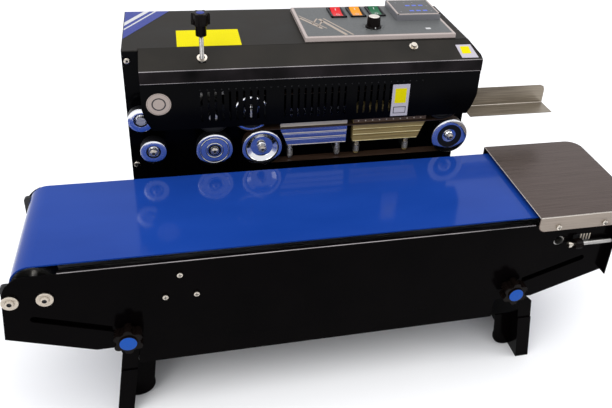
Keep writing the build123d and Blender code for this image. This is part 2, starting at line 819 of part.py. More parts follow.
panel_top_z = head_top_z + panel_rise
with BuildPart() as switch_housings:
    for x, y in switch_places:
        with Locations((x, y, panel_top_z + 1.0)):
            Box(switch_size[0], switch_size[1], 2.0)
        with Locations((x, y, panel_top_z - 9.0)):
            Box(switch_size[0] - 3.0, switch_size[1] - 3.0, 18.0)
        with Locations((x, y, panel_top_z - 4.0)):
            Box(switch_size[0] - 6.0, switch_size[1] - 6.0, 14.0, mode=Mode.SUBTRACT)
save(switch_housings, "switch_housings")

rocker_tilt = 6.0
rocker_colours = ("red", "amber", "green")
for colour, (x, y) in zip(rocker_colours, switch_places):
    with BuildPart() as rocker:
        with BuildSketch(side(x - switch_size[0] / 2 + 3.6)):
            with BuildLine():
                ThreePointArc(
                    (y - switch_size[1] / 2 + 4.4, panel_top_z + 3.4),
                    (y, panel_top_z + 1.6),
                    (y + switch_size[1] / 2 - 4.4, panel_top_z + 3.4),
                )
                Polyline(
                    (y + switch_size[1] / 2 - 4.4, panel_top_z + 3.4),
                    (y + switch_size[1] / 2 - 6.0, panel_top_z - 4.0),
                    (y, panel_top_z - 7.0),
                    (y - switch_size[1] / 2 + 6.0, panel_top_z - 4.0),
                    (y - switch_size[1] / 2 + 4.4, panel_top_z + 3.4),
                )
            make_face()
        extrude(amount=switch_size[0] - 7.2)
        # pivot pins at both ends
        with BuildSketch(side(x - switch_size[0] / 2 + 3.3)):
            with Locations((y, panel_top_z - 2.0)):
                Circle(1.5)
        extrude(amount=switch_size[0] - 6.6)
    tilted = rocker.part.rotate(Axis((x, y, panel_top_z - 2.0), (1, 0, 0)), rocker_tilt)
    tilted.label = f"{colour}_rocker"
    export_step(tilted, f"parts/{colour}_rocker.step")
    node_names.append(f"{colour}_rocker")

with BuildPart() as temperature_controller:
    with Locations(
        (
            (controller_x[0] + controller_x[1]) / 2,
            (controller_y[0] + controller_y[1]) / 2,
            panel_top_z + 5.0,
        )
    ):
        Box(controller_x[1] - controller_x[0], controller_y[1] - controller_y[0], 10.0)
    top_edges = temperature_controller.edges().group_by(Axis.Z)[-1]
    fillet(top_edges, 1.5)
    with Locations(
        (
            (controller_x[0] + controller_x[1]) / 2,
            (controller_y[0] + controller_y[1]) / 2,
            panel_top_z - 20.0,
        )
    ):
        Box(controller_x[1] - controller_x[0] - 14.0, controller_y[1] - controller_y[0] - 14.0, 40.0)
save(temperature_controller, "temperature_controller")

speed_knob_r = 9.5
with BuildPart() as speed_knob:
    with BuildSketch(Plane.XY.offset(panel_top_z + run_gap)):
        with Locations(speed_place):
            Circle(speed_knob_r + 1.5)
    extrude(amount=2.5)
    with BuildSketch(Plane.XY.offset(panel_top_z + 2.5)):
        with Locations(speed_place):
            Circle(speed_knob_r)
    extrude(amount=13.0, taper=5)
    with BuildSketch(Plane.XY.offset(panel_top_z - 12.0)):
        with Locations(speed_place):
            Circle(3.0)
    extrude(amount=14.0)
save(speed_knob, "speed_knob")

# ---------------------------------------------------------------- pressure knob on its screw
rod_top_z = 475.0
rod_low_z = 401.0
knob_top_z = 491.0
with BuildPart() as pressure_screw:
    with BuildSketch(Plane.XY.offset(rod_low_z)):
        with Locations(rod_place):
            Circle(3.2)
    extrude(amount=rod_top_z - rod_low_z)
save(pressure_screw, "pressure_screw")

with BuildPart() as pressure_knob:
    with BuildSketch(Plane.XY.offset(rod_top_z)):
        with Locations(rod_place):
            Circle(10.5)
            with PolarLocations(9.2, 6):
                Circle(3.4)
    extrude(amount=knob_top_z - rod_top_z)
    fillet(pressure_knob.edges().group_by(Axis.Z)[-1], 2.0)
    with BuildSketch(Plane.XY.offset(rod_top_z - 16.0)):
        with Locations(rod_place):
            Circle(7.4)
            Circle(3.2, mode=Mode.SUBTRACT)
    extrude(amount=16.0)
save(pressure_knob, "pressure_knob")

# guide of the sprung press wheel, with the threaded bush that the pressure screw turns in
carrier_z = press_high_z
carrier_half = (22.0, 12.0)  # reach of the carrier to the left and to the right of the wheel's axis
carrier_y = (37.0, 45.0)
with BuildPart() as carrier_guide:
    with Locations((rod_place[0], (rod_place[1] + mech_plate_y) / 2, 408.0)):
        Box(22.0, mech_plate_y - rod_place[1], 9.0)
    with BuildSketch(Plane.XY.offset(403.5)):
        with Locations(rod_place):
            Circle(8.0)
    extrude(amount=9.0)
    with BuildSketch(Plane.XY.offset(403.5)):
        with Locations(rod_place):
            Circle(3.2 + fit_gap)
    extrude(amount=9.0, mode=Mode.SUBTRACT)
    for edge_x, way in ((press_x - carrier_half[0], -1), (press_x + carrier_half[1], 1)):
        with Locations((edge_x + way * 3.3, (35.0 + mech_plate_y) / 2, carrier_z + 36.0)):
            Box(6.0, mech_plate_y - 35.0, 16.0)
        with Locations((edge_x + way * 1.8, 35.8, carrier_z + 36.0)):
            Box(9.0, 1.6, 16.0)
save(carrier_guide, "carrier_guide")


# ---------------------------------------------------------------- wheels, shafts and gears
def dished_wheel(x, z, outer_r, hub_r, bore_r, front_y_, back_y_, dish, flange=0.0):
    """Wheel with a dished front, a raised hub and a bore; flange adds a front lip beside the band."""
    with BuildPart() as wheel:
        with BuildSketch(across(front_y_)):
            with Locations((x, z)):
                Circle(outer_r)
        extrude(amount=-(back_y_ - front_y_))
        if flange > 0:
            with BuildSketch(across(front_y_)):
                with Locations((x, z)):
                    Circle(outer_r + flange)
            extrude(amount=-3.4)
        with BuildSketch(across(front_y_)):
            with Locations((x, z)):
                Circle(outer_r * 0.78)
                Circle(hub_r, mode=Mode.SUBTRACT)
        extrude(amount=-dish, taper=12, mode=Mode.SUBTRACT)
        with BuildSketch(across(front_y_)):
            with Locations((x, z)):
                Circle(bore_r)
        extrude(amount=-(back_y_ - front_y_), mode=Mode.SUBTRACT)
    return wheel


def wheel_shaft(x, z, near_y, far_y):
    """Turned shaft with a domed retaining head at the front."""
    with BuildPart() as shaft:
        with BuildSketch(across(near_y)):
            with Locations((x, z)):
                Circle(shaft_r)
        extrude(amount=-(far_y - near_y))
        with BuildSketch(across(near_y)):
            with Locations((x, z)):
                Circle(6.2)
        extrude(amount=2.4)
    return shaft


def gear_face(x, z, teeth, phase_deg):
    """Spur gear outline with straight-flanked teeth, cut thin enough to run with backlash."""
    pitch_r = gear_module * teeth / 2
    tip_r = pitch_r + 0.8 * gear_module
    root_r = pitch_r - 1.1 * gear_module
    step = 2 * math.pi / teeth
    points = []
    for k in range(teeth):
        middle = math.radians(phase_deg) + k * step
        for radius, half in ((root_r, 0.31), (tip_r, 0.11)):
            points.append((radius, middle - half * step))
        for radius, half in ((tip_r, 0.11), (root_r, 0.31)):
            points.append((radius, middle + half * step))
    Polygon(*[(x + r * math.cos(a), z + r * math.sin(a)) for r, a in points], align=None)


gear_y = (66.0, 76.0)
lower_drive_wheel = dished_wheel(
    lower_drive_x, lower_wheel_z, band_wheel_r, 8.5, shaft_r, wheel_front_y, wheel_back_y, 11.0, 2.0
)
save(lower_drive_wheel, "lower_drive_wheel")
upper_drive_wheel = dished_wheel(
    upper_drive_x, upper_wheel_z, band_wheel_r, 8.5, shaft_r, upper_front_y, wheel_back_y, 7.0
)
save(upper_drive_wheel, "upper_drive_wheel")
lower_idler_wheel = dished_wheel(
    lower_idler_x, lower_wheel_z, band_wheel_r, 8.5, shaft_r + fit_gap, wheel_front_y, wheel_back_y, 8.0, 2.0
)
save(lower_idler_wheel, "lower_idler_wheel")
upper_idler_wheel = dished_wheel(
    upper_idler_x, upper_wheel_z, band_wheel_r, 8.5, shaft_r + fit_gap, upper_front_y, wheel_back_y, 7.0
)
save(upper_idler_wheel, "upper_idler_wheel")
lower_press_wheel = dished_wheel(
    press_x, press_low_z, press_r, 9.0, shaft_r, wheel_front_y, wheel_back_y - 2.0, 5.0
)
save(lower_press_wheel, "lower_press_wheel")
upper_press_wheel = dished_wheel(
    press_x, carrier_z, upper_press_r, 9.0, shaft_r + fit_gap, upper_front_y, wheel_back_y - 2.0, 5.0
)
save(upper_press_wheel, "upper_press_wheel")
for name, key in (("lower_guide_wheel", "lower_guide"), ("upper_guide_wheel", "upper_guide")):
    place = post_places[key]
    guide_front = upper_front_y if key == "upper_guide" else wheel_front_y
    guide_wheel = dished_wheel(
        *place, guide_r, 6.0 + 1.5, shaft_r + fit_gap, guide_front, wheel_back_y - 2.0, 5.0
    )
    save(guide_wheel, name)

mesh_angle = math.degrees(math.atan2(upper_wheel_z - lower_wheel_z, upper_drive_x - lower_drive_x))
half_pitch = 180.0 / band_gear_teeth
lower_gear_phase = mesh_angle
upper_gear_phase = mesh_angle + 180.0 + half_pitch
teeth_to_pinion = (270.0 - lower_gear_phase) / (360.0 / band_gear_teeth)
pinion_offset = (teeth_to_pinion - round(teeth_to_pinion)) * 360.0 / pinion_teeth
pinion_phase = 90.0 + pinion_offset + 180.0 / pinion_teeth


def geared_shaft(x, z, teeth, phase_deg, near_y, far_y):
    """Shaft with its spur gear behind the mechanism plate and a retaining head in front of the wheel."""
    with BuildPart() as shaft:
        with BuildSketch(across(near_y)):
            with Locations((x, z)):
                Circle(shaft_r)
        extrude(amount=-(far_y - near_y))
        with BuildSketch(across(near_y)):
            with Locations((x, z)):
                Circle(6.2)
        extrude(amount=2.4)
        with BuildSketch(across(gear_y[0])):
            gear_face(x, z, teeth, phase_deg)
        extrude(amount=-(gear_y[1] - gear_y[0]))
    return shaft


lower_drive_shaft = geared_shaft(
    lower_drive_x, lower_wheel_z, band_gear_teeth, lower_gear_phase, wheel_front_y, gear_y[1] + 3.0
)
save(lower_drive_shaft, "lower_drive_shaft")
upper_drive_shaft = geared_shaft(
    upper_drive_x, upper_wheel_z, band_gear_teeth, upper_gear_phase, upper_front_y, gear_y[1] + 3.0
)
save(upper_drive_shaft, "upper_drive_shaft")
press_shaft = wheel_shaft(press_x, press_low_z, wheel_front_y, 64.0)
save(press_shaft, "press_shaft")

with BuildPart() as motor_pinion:
    with BuildSketch(across(gear_y[0])):
        gear_face(*pinion_place, pinion_teeth, pinion_phase)
    extrude(amount=-(gear_y[1] - gear_y[0]))
    with BuildSketch(across(gear_y[0])):
        with Locations(pinion_place):
            Circle(4.0)
    extrude(amount=-24.0)
save(motor_pinion, "motor_pinion")

with BuildPart() as wheel_posts:
    for key, (x, z) in post_places.items():
        near_y = upper_front_y if key.startswith("upper") else wheel_front_y
        for radius, from_y, to_y in (
            (6.2, near_y - run_gap - 2.2, near_y - run_gap),
            (shaft_r, near_y - run_gap, mech_plate_y),
            (5.9, 40.0, mech_plate_y if x > head_left_x + 25.0 else head_front_y),
            (3.9, mech_plate_y, mech_plate_y + 8.0),
        ):
            with BuildSketch(across(from_y)):
                with Locations((x, z)):
                    Circle(radius)
            extrude(amount=-(to_y - from_y))
save(wheel_posts, "wheel_posts")

with BuildPart() as shaft_bearings:
    for x, z in shaft_places.values():
        with BuildSketch(across(mech_plate_y + mech_plate_t)):
            with Locations((x, z)):
                Circle(13.0)
                Circle(shaft_r + fit_gap, mode=Mode.SUBTRACT)
        extrude(amount=-9.0)
save(shaft_bearings, "shaft_bearings")

# sprung carrier of the upper press wheel: it slides up on the plate when thick film passes
with BuildPart() as press_carrier:
    for radius, from_y, to_y in (
        (6.2, upper_front_y - run_gap - 2.2, upper_front_y - run_gap),
        (shaft_r, upper_front_y - run_gap, carrier_y[0] + 0.5),
    ):
        with BuildSketch(across(from_y)):
            with Locations((press_x, carrier_z)):
                Circle(radius)
        extrude(amount=-(to_y - from_y))
    with BuildSketch(across(carrier_y[0])):
        Polygon(
            (press_x - carrier_half[0], carrier_z + 20.0),
            (press_x - carrier_half[0], carrier_z + 48.0),
            (press_x + carrier_half[1], carrier_z + 48.0),
            (press_x + carrier_half[1], carrier_z + 20.0),
            (press_x + 9.0, carrier_z - 9.0),
            (press_x - 9.0, carrier_z - 9.0),
            align=None,
        )
    extrude(amount=-(carrier_y[1] - carrier_y[0]))
    with Locations((rod_place[0], 36.0, carrier_z + 45.5)):
        Box(12.0, 12.0, 5.0)
save(press_carrier, "press_carrier")

# coil spring between the carrier and the end of the pressure screw
spring_low_z = carrier_z + 48.3
spring_high_z = rod_low_z - 0.3
with BuildPart() as pressure_spring:
    with BuildSketch(Plane.XY.offset(spring_low_z)):
        with Locations(rod_place):
            Circle(4.8)
            Circle(3.6, mode=Mode.SUBTRACT)
    extrude(amount=spring_high_z - spring_low_z)
save(pressure_spring, "pressure_spring")

# ---------------------------------------------------------------- sealing bands and blocks


with BuildPart() as sealing_bands:
    for x_from, x_to, z in (
        (lower_drive_x, lower_idler_x, lower_wheel_z),
        (upper_drive_x, upper_idler_x, upper_wheel_z),
    ):
        with BuildSketch(across(band_front_y)):
            with Locations(((x_from + x_to) / 2, z)):
                SlotCenterToCenter(x_to - x_from, 2 * band_pitch_r)
                SlotCenterToCenter(x_to - x_from, 2 * (band_pitch_r - band_thick), mode=Mode.SUBTRACT)
        extrude(amount=-(band_back_y - band_front_y))
save(sealing_bands, "sealing_bands")

block_y = (24.0, 36.0)
block_h = 30.0
groove = 1.2
lower_block_top = film_z - 0.2 - band_thick - run_gap
upper_block_low = film_z + 0.2 + band_thick + run_gap
cooling_x = (-63.0, 39.0)
heating_x = (48.0, 164.0)
block_slant = 12.0
pin_r = 3.0
pin_low_z = 261.8
pin_x = {"cooling": (-47.0, 26.0), "heating": (57.0, 136.0)}


def block_outline(x_from, x_to, slant_left, slant_right, edge_z, far_z):
    """Sealing block seen from the front: the face against the band is the longer one."""
    Polygon(
        (x_from, edge_z),
        (x_to, edge_z),
        (x_to - slant_right, far_z),
        (x_from + slant_left, far_z),
        align=None,
    )


for kind, x_range, slants in (
    ("cooling", cooling_x, (block_slant, 1.0)),
    ("heating", heating_x, (1.0, block_slant)),
):
    for level, edge_z, far_z in (
        ("lower", lower_block_top, lower_block_top - block_h),
        ("upper", upper_block_low, upper_block_low + block_h),
    ):
        with BuildPart() as block:
            with BuildSketch(across(block_y[0])):
                block_outline(*x_range, *slants, edge_z, far_z)
            extrude(amount=-(block_y[1] - block_y[0]))
            for share in (0.36, 0.68):
                z = edge_z + share * (far_z - edge_z)
                with Locations(((x_range[0] + x_range[1]) / 2, block_y[0], z)):
                    Box(x_range[1] - x_range[0] + 4.0, 2 * groove, 1.6, mode=Mode.SUBTRACT)
            if level == "lower":
                # guide pins under the block, each with a round cap at its end
                for x in pin_x[kind]:
                    with BuildSketch(Plane.XY.offset(pin_low_z)):
                        with Locations((x, 30.0)):
                            Circle(pin_r)
                    extrude(amount=far_z - pin_low_z + 1.0)
                    with BuildSketch(Plane.XY.offset(pin_low_z)):
                        with Locations((x, 30.0)):
                            Circle(pin_r + 0.9)
                    extrude(amount=2.2)
        save(block, f"{level}_{kind}_block")

# rail behind the blocks: it holds the upper blocks and guides the pins of the lower ones
tube_z = (264.4, 275.0)
with BuildPart() as block_rail:
    for x_range in (cooling_x, heating_x):
        middle_x = (x_range[0] + x_range[1]) / 2
        with Locations((middle_x, (block_y[1] + mech_plate_y) / 2, upper_block_low + 15.0)):
            Box(30.0, mech_plate_y - block_y[1], 12.0)
    for x in pin_x["cooling"] + pin_x["heating"]:
        with Locations((x, (30.0 + mech_plate_y) / 2, (tube_z[0] + tube_z[1]) / 2)):
            Box(7.0, mech_plate_y - 30.0, tube_z[1] - tube_z[0])
        with BuildSketch(Plane.XY.offset(tube_z[0])):
            with Locations((x, 30.0)):
                Circle(4.9)
        extrude(amount=tube_z[1] - tube_z[0])
        with BuildSketch(Plane.XY.offset(tube_z[0])):
            with Locations((x, 30.0)):
                Circle(pin_r + fit_gap)
        extrude(amount=tube_z[1] - tube_z[0], mode=Mode.SUBTRACT)
save(block_rail, "block_rail")

for kind in ("cooling", "heating"):
    with BuildPart() as springs:
        for x in pin_x[kind]:
            with BuildSketch(Plane.XY.offset(tube_z[1] + 0.3)):
                with Locations((x, 30.0)):
                    Circle(4.6)
                    Circle(3.5, mode=Mode.SUBTRACT)
            extrude(amount=lower_block_top - block_h - tube_z[1] - 0.6)
    save(springs, f"{kind}_block_springs")

# ---------------------------------------------------------------- inside the head
with BuildPart() as gearmotor:
    with Locations((pinion_place[0], gear_y[1] + 4.0 + 22.0, pinion_place[1] - 12.0)):
        Box(76.0, 44.0, 76.0)
    with BuildSketch(across(gear_y[1] + 4.0)):
        with Locations(pinion_place):
            Circle(4.0 + fit_gap)
    extrude(amount=-16.0, mode=Mode.SUBTRACT)
    with BuildSketch(across(gear_y[1] + 48.0)):
        with Locations((pinion_place[0], pinion_place[1] - 12.0)):
            Circle(31.0)
    extrude(amount=-66.0)
    with Locations((pinion_place[0], gear_y[1] + 26.0, (pinion_place[1] - 50.0 + base_z + sheet) / 2)):
        Box(60.0, 36.0, pinion_place[1] - 50.0 - base_z - sheet)
save(gearmotor, "gearmotor")

with BuildPart() as power_inlet:
    with Locations((-200.0, head_back_y + 0.75, 80.0)):
        Box(32.0, 1.5, 24.0)
    with Locations((-200.0, head_back_y - 10.0, 80.0)):
        Box(27.0, 20.0, 19.0)
    with Locations((-200.0, head_back_y - 6.0, 80.0)):
        Box(23.0, 15.5, 15.0, mode=Mode.SUBTRACT)
    for x in (-206.0, -200.0, -194.0):
        with Locations((x, head_back_y - 9.0, 80.0)):
            Box(1.6, 12.0, 4.0)
save(power_inlet, "power_inlet")

print(len(node_names), "nodes")
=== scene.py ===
"""Looks of the continuous band sealer: materials, detail pieces, camera and light round the CAD frame.

The row frame is in metres: +X is the way the bags travel, +Y points from the conveyor to the sealing head,
+Z is up, and the origin is on the floor under the middle of the machine. The sizes and places written here
are in millimetres of that frame, and MM turns them into metres.
"""

import json
import math

import bmesh
import bpy
from mathutils import Euler, Matrix, Vector


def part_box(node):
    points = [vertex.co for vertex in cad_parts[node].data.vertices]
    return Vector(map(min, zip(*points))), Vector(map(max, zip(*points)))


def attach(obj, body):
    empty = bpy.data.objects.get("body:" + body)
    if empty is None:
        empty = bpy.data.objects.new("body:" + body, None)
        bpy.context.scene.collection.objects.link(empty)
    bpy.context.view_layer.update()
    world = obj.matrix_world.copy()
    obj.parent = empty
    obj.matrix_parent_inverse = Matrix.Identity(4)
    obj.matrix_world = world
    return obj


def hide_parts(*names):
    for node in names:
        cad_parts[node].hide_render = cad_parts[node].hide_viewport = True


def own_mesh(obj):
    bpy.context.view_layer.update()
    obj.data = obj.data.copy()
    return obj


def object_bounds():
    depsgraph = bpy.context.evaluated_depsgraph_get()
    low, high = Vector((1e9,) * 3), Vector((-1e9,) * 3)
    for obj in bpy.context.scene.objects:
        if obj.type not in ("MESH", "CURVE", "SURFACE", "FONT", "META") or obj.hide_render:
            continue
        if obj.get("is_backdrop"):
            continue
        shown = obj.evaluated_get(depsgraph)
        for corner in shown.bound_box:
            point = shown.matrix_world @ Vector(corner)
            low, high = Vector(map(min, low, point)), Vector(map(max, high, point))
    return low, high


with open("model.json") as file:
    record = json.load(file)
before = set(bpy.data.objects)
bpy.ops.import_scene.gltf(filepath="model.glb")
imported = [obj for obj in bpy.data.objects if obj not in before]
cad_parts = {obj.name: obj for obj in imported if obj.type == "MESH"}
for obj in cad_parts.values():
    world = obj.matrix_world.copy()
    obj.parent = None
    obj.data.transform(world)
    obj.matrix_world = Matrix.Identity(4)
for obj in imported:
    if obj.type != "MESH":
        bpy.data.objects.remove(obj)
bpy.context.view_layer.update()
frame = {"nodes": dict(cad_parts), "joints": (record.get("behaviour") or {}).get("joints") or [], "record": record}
nodes = frame["nodes"]

MM = 0.001
FRONT = Vector((0, -1, 0))
UP = Vector((0, 0, 1))
RIGHT = Vector((1, 0, 0))

PRESS_ROD = (-170.5, 34.5)  # x and y of the pressure screw
GUIDE_PINS = {"cooling": (-47.0, 26.0), "heating": (57.0, 136.0)}  # x of the block pins
GUIDE_PIN_Y = 30.0
SIDE_SCREW_Y = -185.2  # where the detailed heads start on the conveyor's front screws
TAKEUP_Z = 219.0  # height of the take-up screws


def joint_place(name):
    """A point on the axis of a joint."""
    for joint in frame["joints"]:
        if joint["name"] == name:
            return Vector(joint["pos_m"])
    raise KeyError(name)


# ---------------------------------------------------------------- materials
def shader(name, colour, roughness, metallic=0.0, coat=0.0, coat_roughness=0.1, specular=0.5):
    """A material with its Principled shader; constant values are set on the shader's own sockets."""
    material = bpy.data.materials.new(name)
    material.use_nodes = True
    principled = material.node_tree.nodes["Principled BSDF"]
    principled.inputs["Base Color"].default_value = (*colour, 1.0)
    principled.inputs["Roughness"].default_value = roughness
    principled.inputs["Metallic"].default_value = metallic
    principled.inputs["Coat Weight"].default_value = coat
    principled.inputs["Coat Roughness"].default_value = coat_roughness
    principled.inputs["Specular IOR Level"].default_value = specular
    return material


def node(material, kind, **values):
    """Adds a node and sets its plain properties or its inputs by name."""
    made = material.node_tree.nodes.new(kind)
    for key, value in values.items():
        if hasattr(made, key):
            setattr(made, key, value)
        else:
            made.inputs[key.replace("_", " ")].default_value = value
    return made


def link(material, from_socket, to_socket):
    material.node_tree.links.new(from_socket, to_socket)


def principled_of(material):
    return material.node_tree.nodes["Principled BSDF"]


def stretched_noise(material, stretch, scale, detail=4.0):
    """Noise in object space, stretched by the three factors."""
    place = node(material, "ShaderNodeTexCoord")
    mapping = node(material, "ShaderNodeMapping")
    mapping.inputs["Scale"].default_value = stretch
    noise = node(material, "ShaderNodeTexNoise", Scale=scale, Detail=detail)
    link(material, place.outputs["Object"], mapping.inputs["Vector"])
    link(material, mapping.outputs["Vector"], noise.inputs["Vector"])
    return noise


NOISE_LOW = 0.3  # most of the noise lies between these two
NOISE_HIGH = 0.7


def vary(material, noise, socket, low, high):
    """Lets the noise move a shader value between low and high."""
    spread = node(material, "ShaderNodeMapRange")
    spread.inputs["From Min"].default_value = NOISE_LOW
    spread.inputs["From Max"].default_value = NOISE_HIGH
    spread.inputs["To Min"].default_value = low
    spread.inputs["To Max"].default_value = high
    link(material, noise.outputs["Fac"], spread.inputs["Value"])
    link(material, spread.outputs["Result"], principled_of(material).inputs[socket])


def tint(material, noise, dark, light):
    """Lets the noise blend the base colour from dark to light."""
    ramp = node(material, "ShaderNodeValToRGB")
    ramp.color_ramp.elements[0].position = NOISE_LOW
    ramp.color_ramp.elements[0].color = (*dark, 1.0)
    ramp.color_ramp.elements[1].position = NOISE_HIGH
    ramp.color_ramp.elements[1].color = (*light, 1.0)
    link(material, noise.outputs["Fac"], ramp.inputs["Fac"])
    link(material, ramp.outputs["Color"], principled_of(material).inputs["Base Color"])


def bump(material, noise, strength, depth):
    """Adds the noise as fine relief of that depth in metres."""
    relief = node(material, "ShaderNodeBump", Strength=strength, Distance=depth)
    link(material, noise.outputs["Fac"], relief.inputs["Height"])
    link(material, relief.outputs["Normal"], principled_of(material).inputs["Normal"])


def powder_coat(name, dark, light, roughness, grain, depth, coat, specular=0.10):
    """Painted sheet steel with a fine orange-peel or textured surface."""
    material = shader(name, dark, roughness, coat=coat, coat_roughness=0.12, specular=specular)
    grainy = stretched_noise(material, (1, 1, 1), grain, 3.0)
    cloudy = stretched_noise(material, (1, 1, 1), 14.0, 5.0)
    tint(material, cloudy, dark, light)
    vary(material, cloudy, "Roughness", roughness * 0.85, roughness * 1.15)
    bump(material, grainy, 0.35, depth)
    return material


def brushed(name, dark, light, roughness, stretch, metallic=1.0):
    """Brushed metal: fine streaks along one axis in colour, roughness and relief."""
    material = shader(name, dark, roughness, metallic=metallic)
    streaks = stretched_noise(material, stretch, 60.0, 6.0)
    tint(material, streaks, dark, light)
    vary(material, streaks, "Roughness", roughness * 0.75, roughness * 1.3)
    bump(material, streaks, 0.12, 0.00005)
    return material


def plastic(name, colour, roughness, coat=0.0, specular=0.5):
    """Moulded plastic with a faint texture."""
    material = shader(name, colour, roughness, coat=coat, coat_roughness=0.06, specular=specular)
    grain = stretched_noise(material, (1, 1, 1), 420.0, 3.0)
    vary(material, grain, "Roughness", roughness * 0.85, roughness * 1.15)
    bump(material, grain, 0.15, 0.00003)
    return material


ALONG_X = (0.25, 12.0, 12.0)  # stretch of streaks that run along X

black_paint = powder_coat(
    "black_paint", (0.0008, 0.0006, 0.0007), (0.0014, 0.0010, 0.0011), 0.16,
    grain=1300.0, depth=0.000004, coat=0.0, specular=0.016,
)
head_paint = powder_coat(
    "head_paint", (0.0006, 0.0006, 0.0009), (0.0012, 0.0012, 0.0016), 0.18,
    grain=900.0, depth=0.000004, coat=0.0, specular=0.03,
)
# light grey beads along the hood's folds and the front plate's top edge are painted highlights on the black paint
painted_highlight = powder_coat(
    "painted_highlight", (0.05, 0.045, 0.045), (0.30, 0.27, 0.27), 0.12,
    grain=30.0, depth=0.00001, coat=0.9, specular=0.5,
)
lip_paint = powder_coat(
    "lip_paint", (0.001, 0.001, 0.001), (0.016, 0.013, 0.014), 0.16,
    grain=60.0, depth=0.000004, coat=0.0, specular=0.03,
)
top_paint = powder_coat(
    "top_paint", (0.011, 0.0098, 0.0080), (0.020, 0.0175, 0.0145), 0.5,
    grain=900.0, depth=0.0001, coat=0.0, specular=0.08,
)
stainless = brushed("stainless", (0.100, 0.076, 0.066), (0.132, 0.102, 0.090), 0.30, ALONG_X)
guide_steel = brushed("guide_steel", (0.19, 0.16, 0.125), (0.33, 0.29, 0.23), 0.34, ALONG_X, metallic=0.8)
# pale metal: painted highlights along the stainless and guide folds, and the speed knob's top
painted_fold_highlight_and_cap_metal = brushed("painted_fold_highlight_and_cap_metal", (0.55, 0.50, 0.44), (0.75, 0.70, 0.63), 0.3, ALONG_X, metallic=0.7)
zinc = brushed("zinc", (0.30, 0.29, 0.28), (0.48, 0.47, 0.45), 0.32, ALONG_X)
dark_steel = brushed("dark_steel", (0.010, 0.010, 0.011), (0.03, 0.03, 0.03), 0.35, (1, 1, 1), metallic=0.6)
screw_metal = brushed("screw_metal", (0.40, 0.36, 0.31), (0.60, 0.55, 0.48), 0.25, (1, 1, 1))
aluminium = brushed("aluminium", (0.42, 0.43, 0.52), (0.62, 0.63, 0.70), 0.20, ALONG_X)
cream_metal = brushed("cream_metal", (0.36, 0.31, 0.25), (0.55, 0.49, 0.41), 0.42, ALONG_X, metallic=0.3)
flange_steel = brushed(
    "flange_steel", (0.20, 0.165, 0.135), (0.27, 0.225, 0.185), 0.4, ALONG_X, metallic=0.3
)
brass = brushed("brass", (0.20, 0.14, 0.045), (0.36, 0.27, 0.10), 0.42, ALONG_X, metallic=0.45)
brass_ridge = brushed("brass_ridge", (0.50, 0.42, 0.20), (0.78, 0.70, 0.42), 0.3, ALONG_X, metallic=0.5)
chrome = shader("chrome", (0.80, 0.80, 0.82), 0.06, metallic=1.0)
chrome_wear = stretched_noise(chrome, (1, 1, 1), 160.0, 5.0)
vary(chrome, chrome_wear, "Roughness", 0.04, 0.20)
bump(chrome, chrome_wear, 0.25, 0.0002)
spring_steel = brushed("spring_steel", (0.35, 0.35, 0.34), (0.55, 0.54, 0.53), 0.25, (1, 1, 1))
knob_plastic = plastic("knob_plastic", (0.0034, 0.0022, 0.0019), 0.20, 0.0, 0.055)
housing_plastic = plastic("housing_plastic", (0.006, 0.006, 0.007), 0.40, specular=0.25)
grey_plastic = plastic("grey_plastic", (0.13, 0.13, 0.14), 0.45, specular=0.3)
red_plastic = plastic("red_plastic", (0.50, 0.003, 0.006), 0.3, 0.1, 0.12)
amber_plastic = plastic("amber_plastic", (0.62, 0.22, 0.004), 0.3, 0.1, 0.12)
green_plastic = plastic("green_plastic", (0.002, 0.085, 0.030), 0.3, 0.1, 0.12)
panel_skin = plastic("panel_skin", (0.34, 0.29, 0.27), 0.4, specular=0.2)
panel_face = plastic("panel_face", (0.085, 0.088, 0.088), 0.42, specular=0.15)
panel_line = plastic("panel_line", (0.30, 0.25, 0.21), 0.5, specular=0.1)
tyre_rubber = plastic("tyre_rubber", (0.004, 0.004, 0.005), 0.45, specular=0.2)
feet_rubber = plastic("feet_rubber", (0.010, 0.010, 0.010), 0.8, specular=0.2)
band_tape = brushed("band_tape", (0.012, 0.006, 0.003), (0.030, 0.014, 0.007), 0.45, ALONG_X, metallic=0.0)
band_top = brushed("band_top", (0.040, 0.020, 0.009), (0.075, 0.040, 0.018), 0.5, ALONG_X, metallic=0.0)
motor_paint = powder_coat(
    "motor_paint", (0.03, 0.033, 0.036), (0.05, 0.055, 0.06), 0.45,
    grain=700.0, depth=0.00004, coat=0.0,
)
label_white = plastic("label_white", (0.36, 0.34, 0.38), 0.4, specular=0.3)
label_cream = plastic("label_cream", (0.34, 0.28, 0.24), 0.4, specular=0.3)
label_yellow = plastic("label_yellow", (0.56, 0.49, 0.001), 0.55, specular=0.03)
label_blue = plastic("label_blue", (0.018, 0.030, 0.19), 0.4, specular=0.2)
cap_blue = plastic("cap_blue", (0.006, 0.060, 0.30), 0.45, specular=0.1)
# dark print on the labels, and painted shade inside screw recesses and washer cups
dark_print_and_painted_shade = plastic("dark_print_and_painted_shade", (0.02, 0.02, 0.022), 0.5, specular=0.2)
mark_white = plastic("mark_white", (0.45, 0.45, 0.45), 0.4)
display_glass = plastic("display_glass", (0.010, 0.009, 0.010), 0.2, 0.2, 0.3)
display_blue = plastic("display_blue", (0.05, 0.09, 0.42), 0.4)

blue_belt = shader("blue_belt", (0.005, 0.034, 0.215), 0.10, specular=0.16)
belt_clouds = stretched_noise(blue_belt, (0.6, 1.6, 1.0), 9.0, 4.0)
tint(blue_belt, belt_clouds, (0.0055, 0.033, 0.205), (0.0080, 0.040, 0.235))
belt_weave = stretched_noise(blue_belt, (1.0, 1.0, 1.0), 700.0, 2.0)
bump(blue_belt, belt_weave, 0.08, 0.00002)

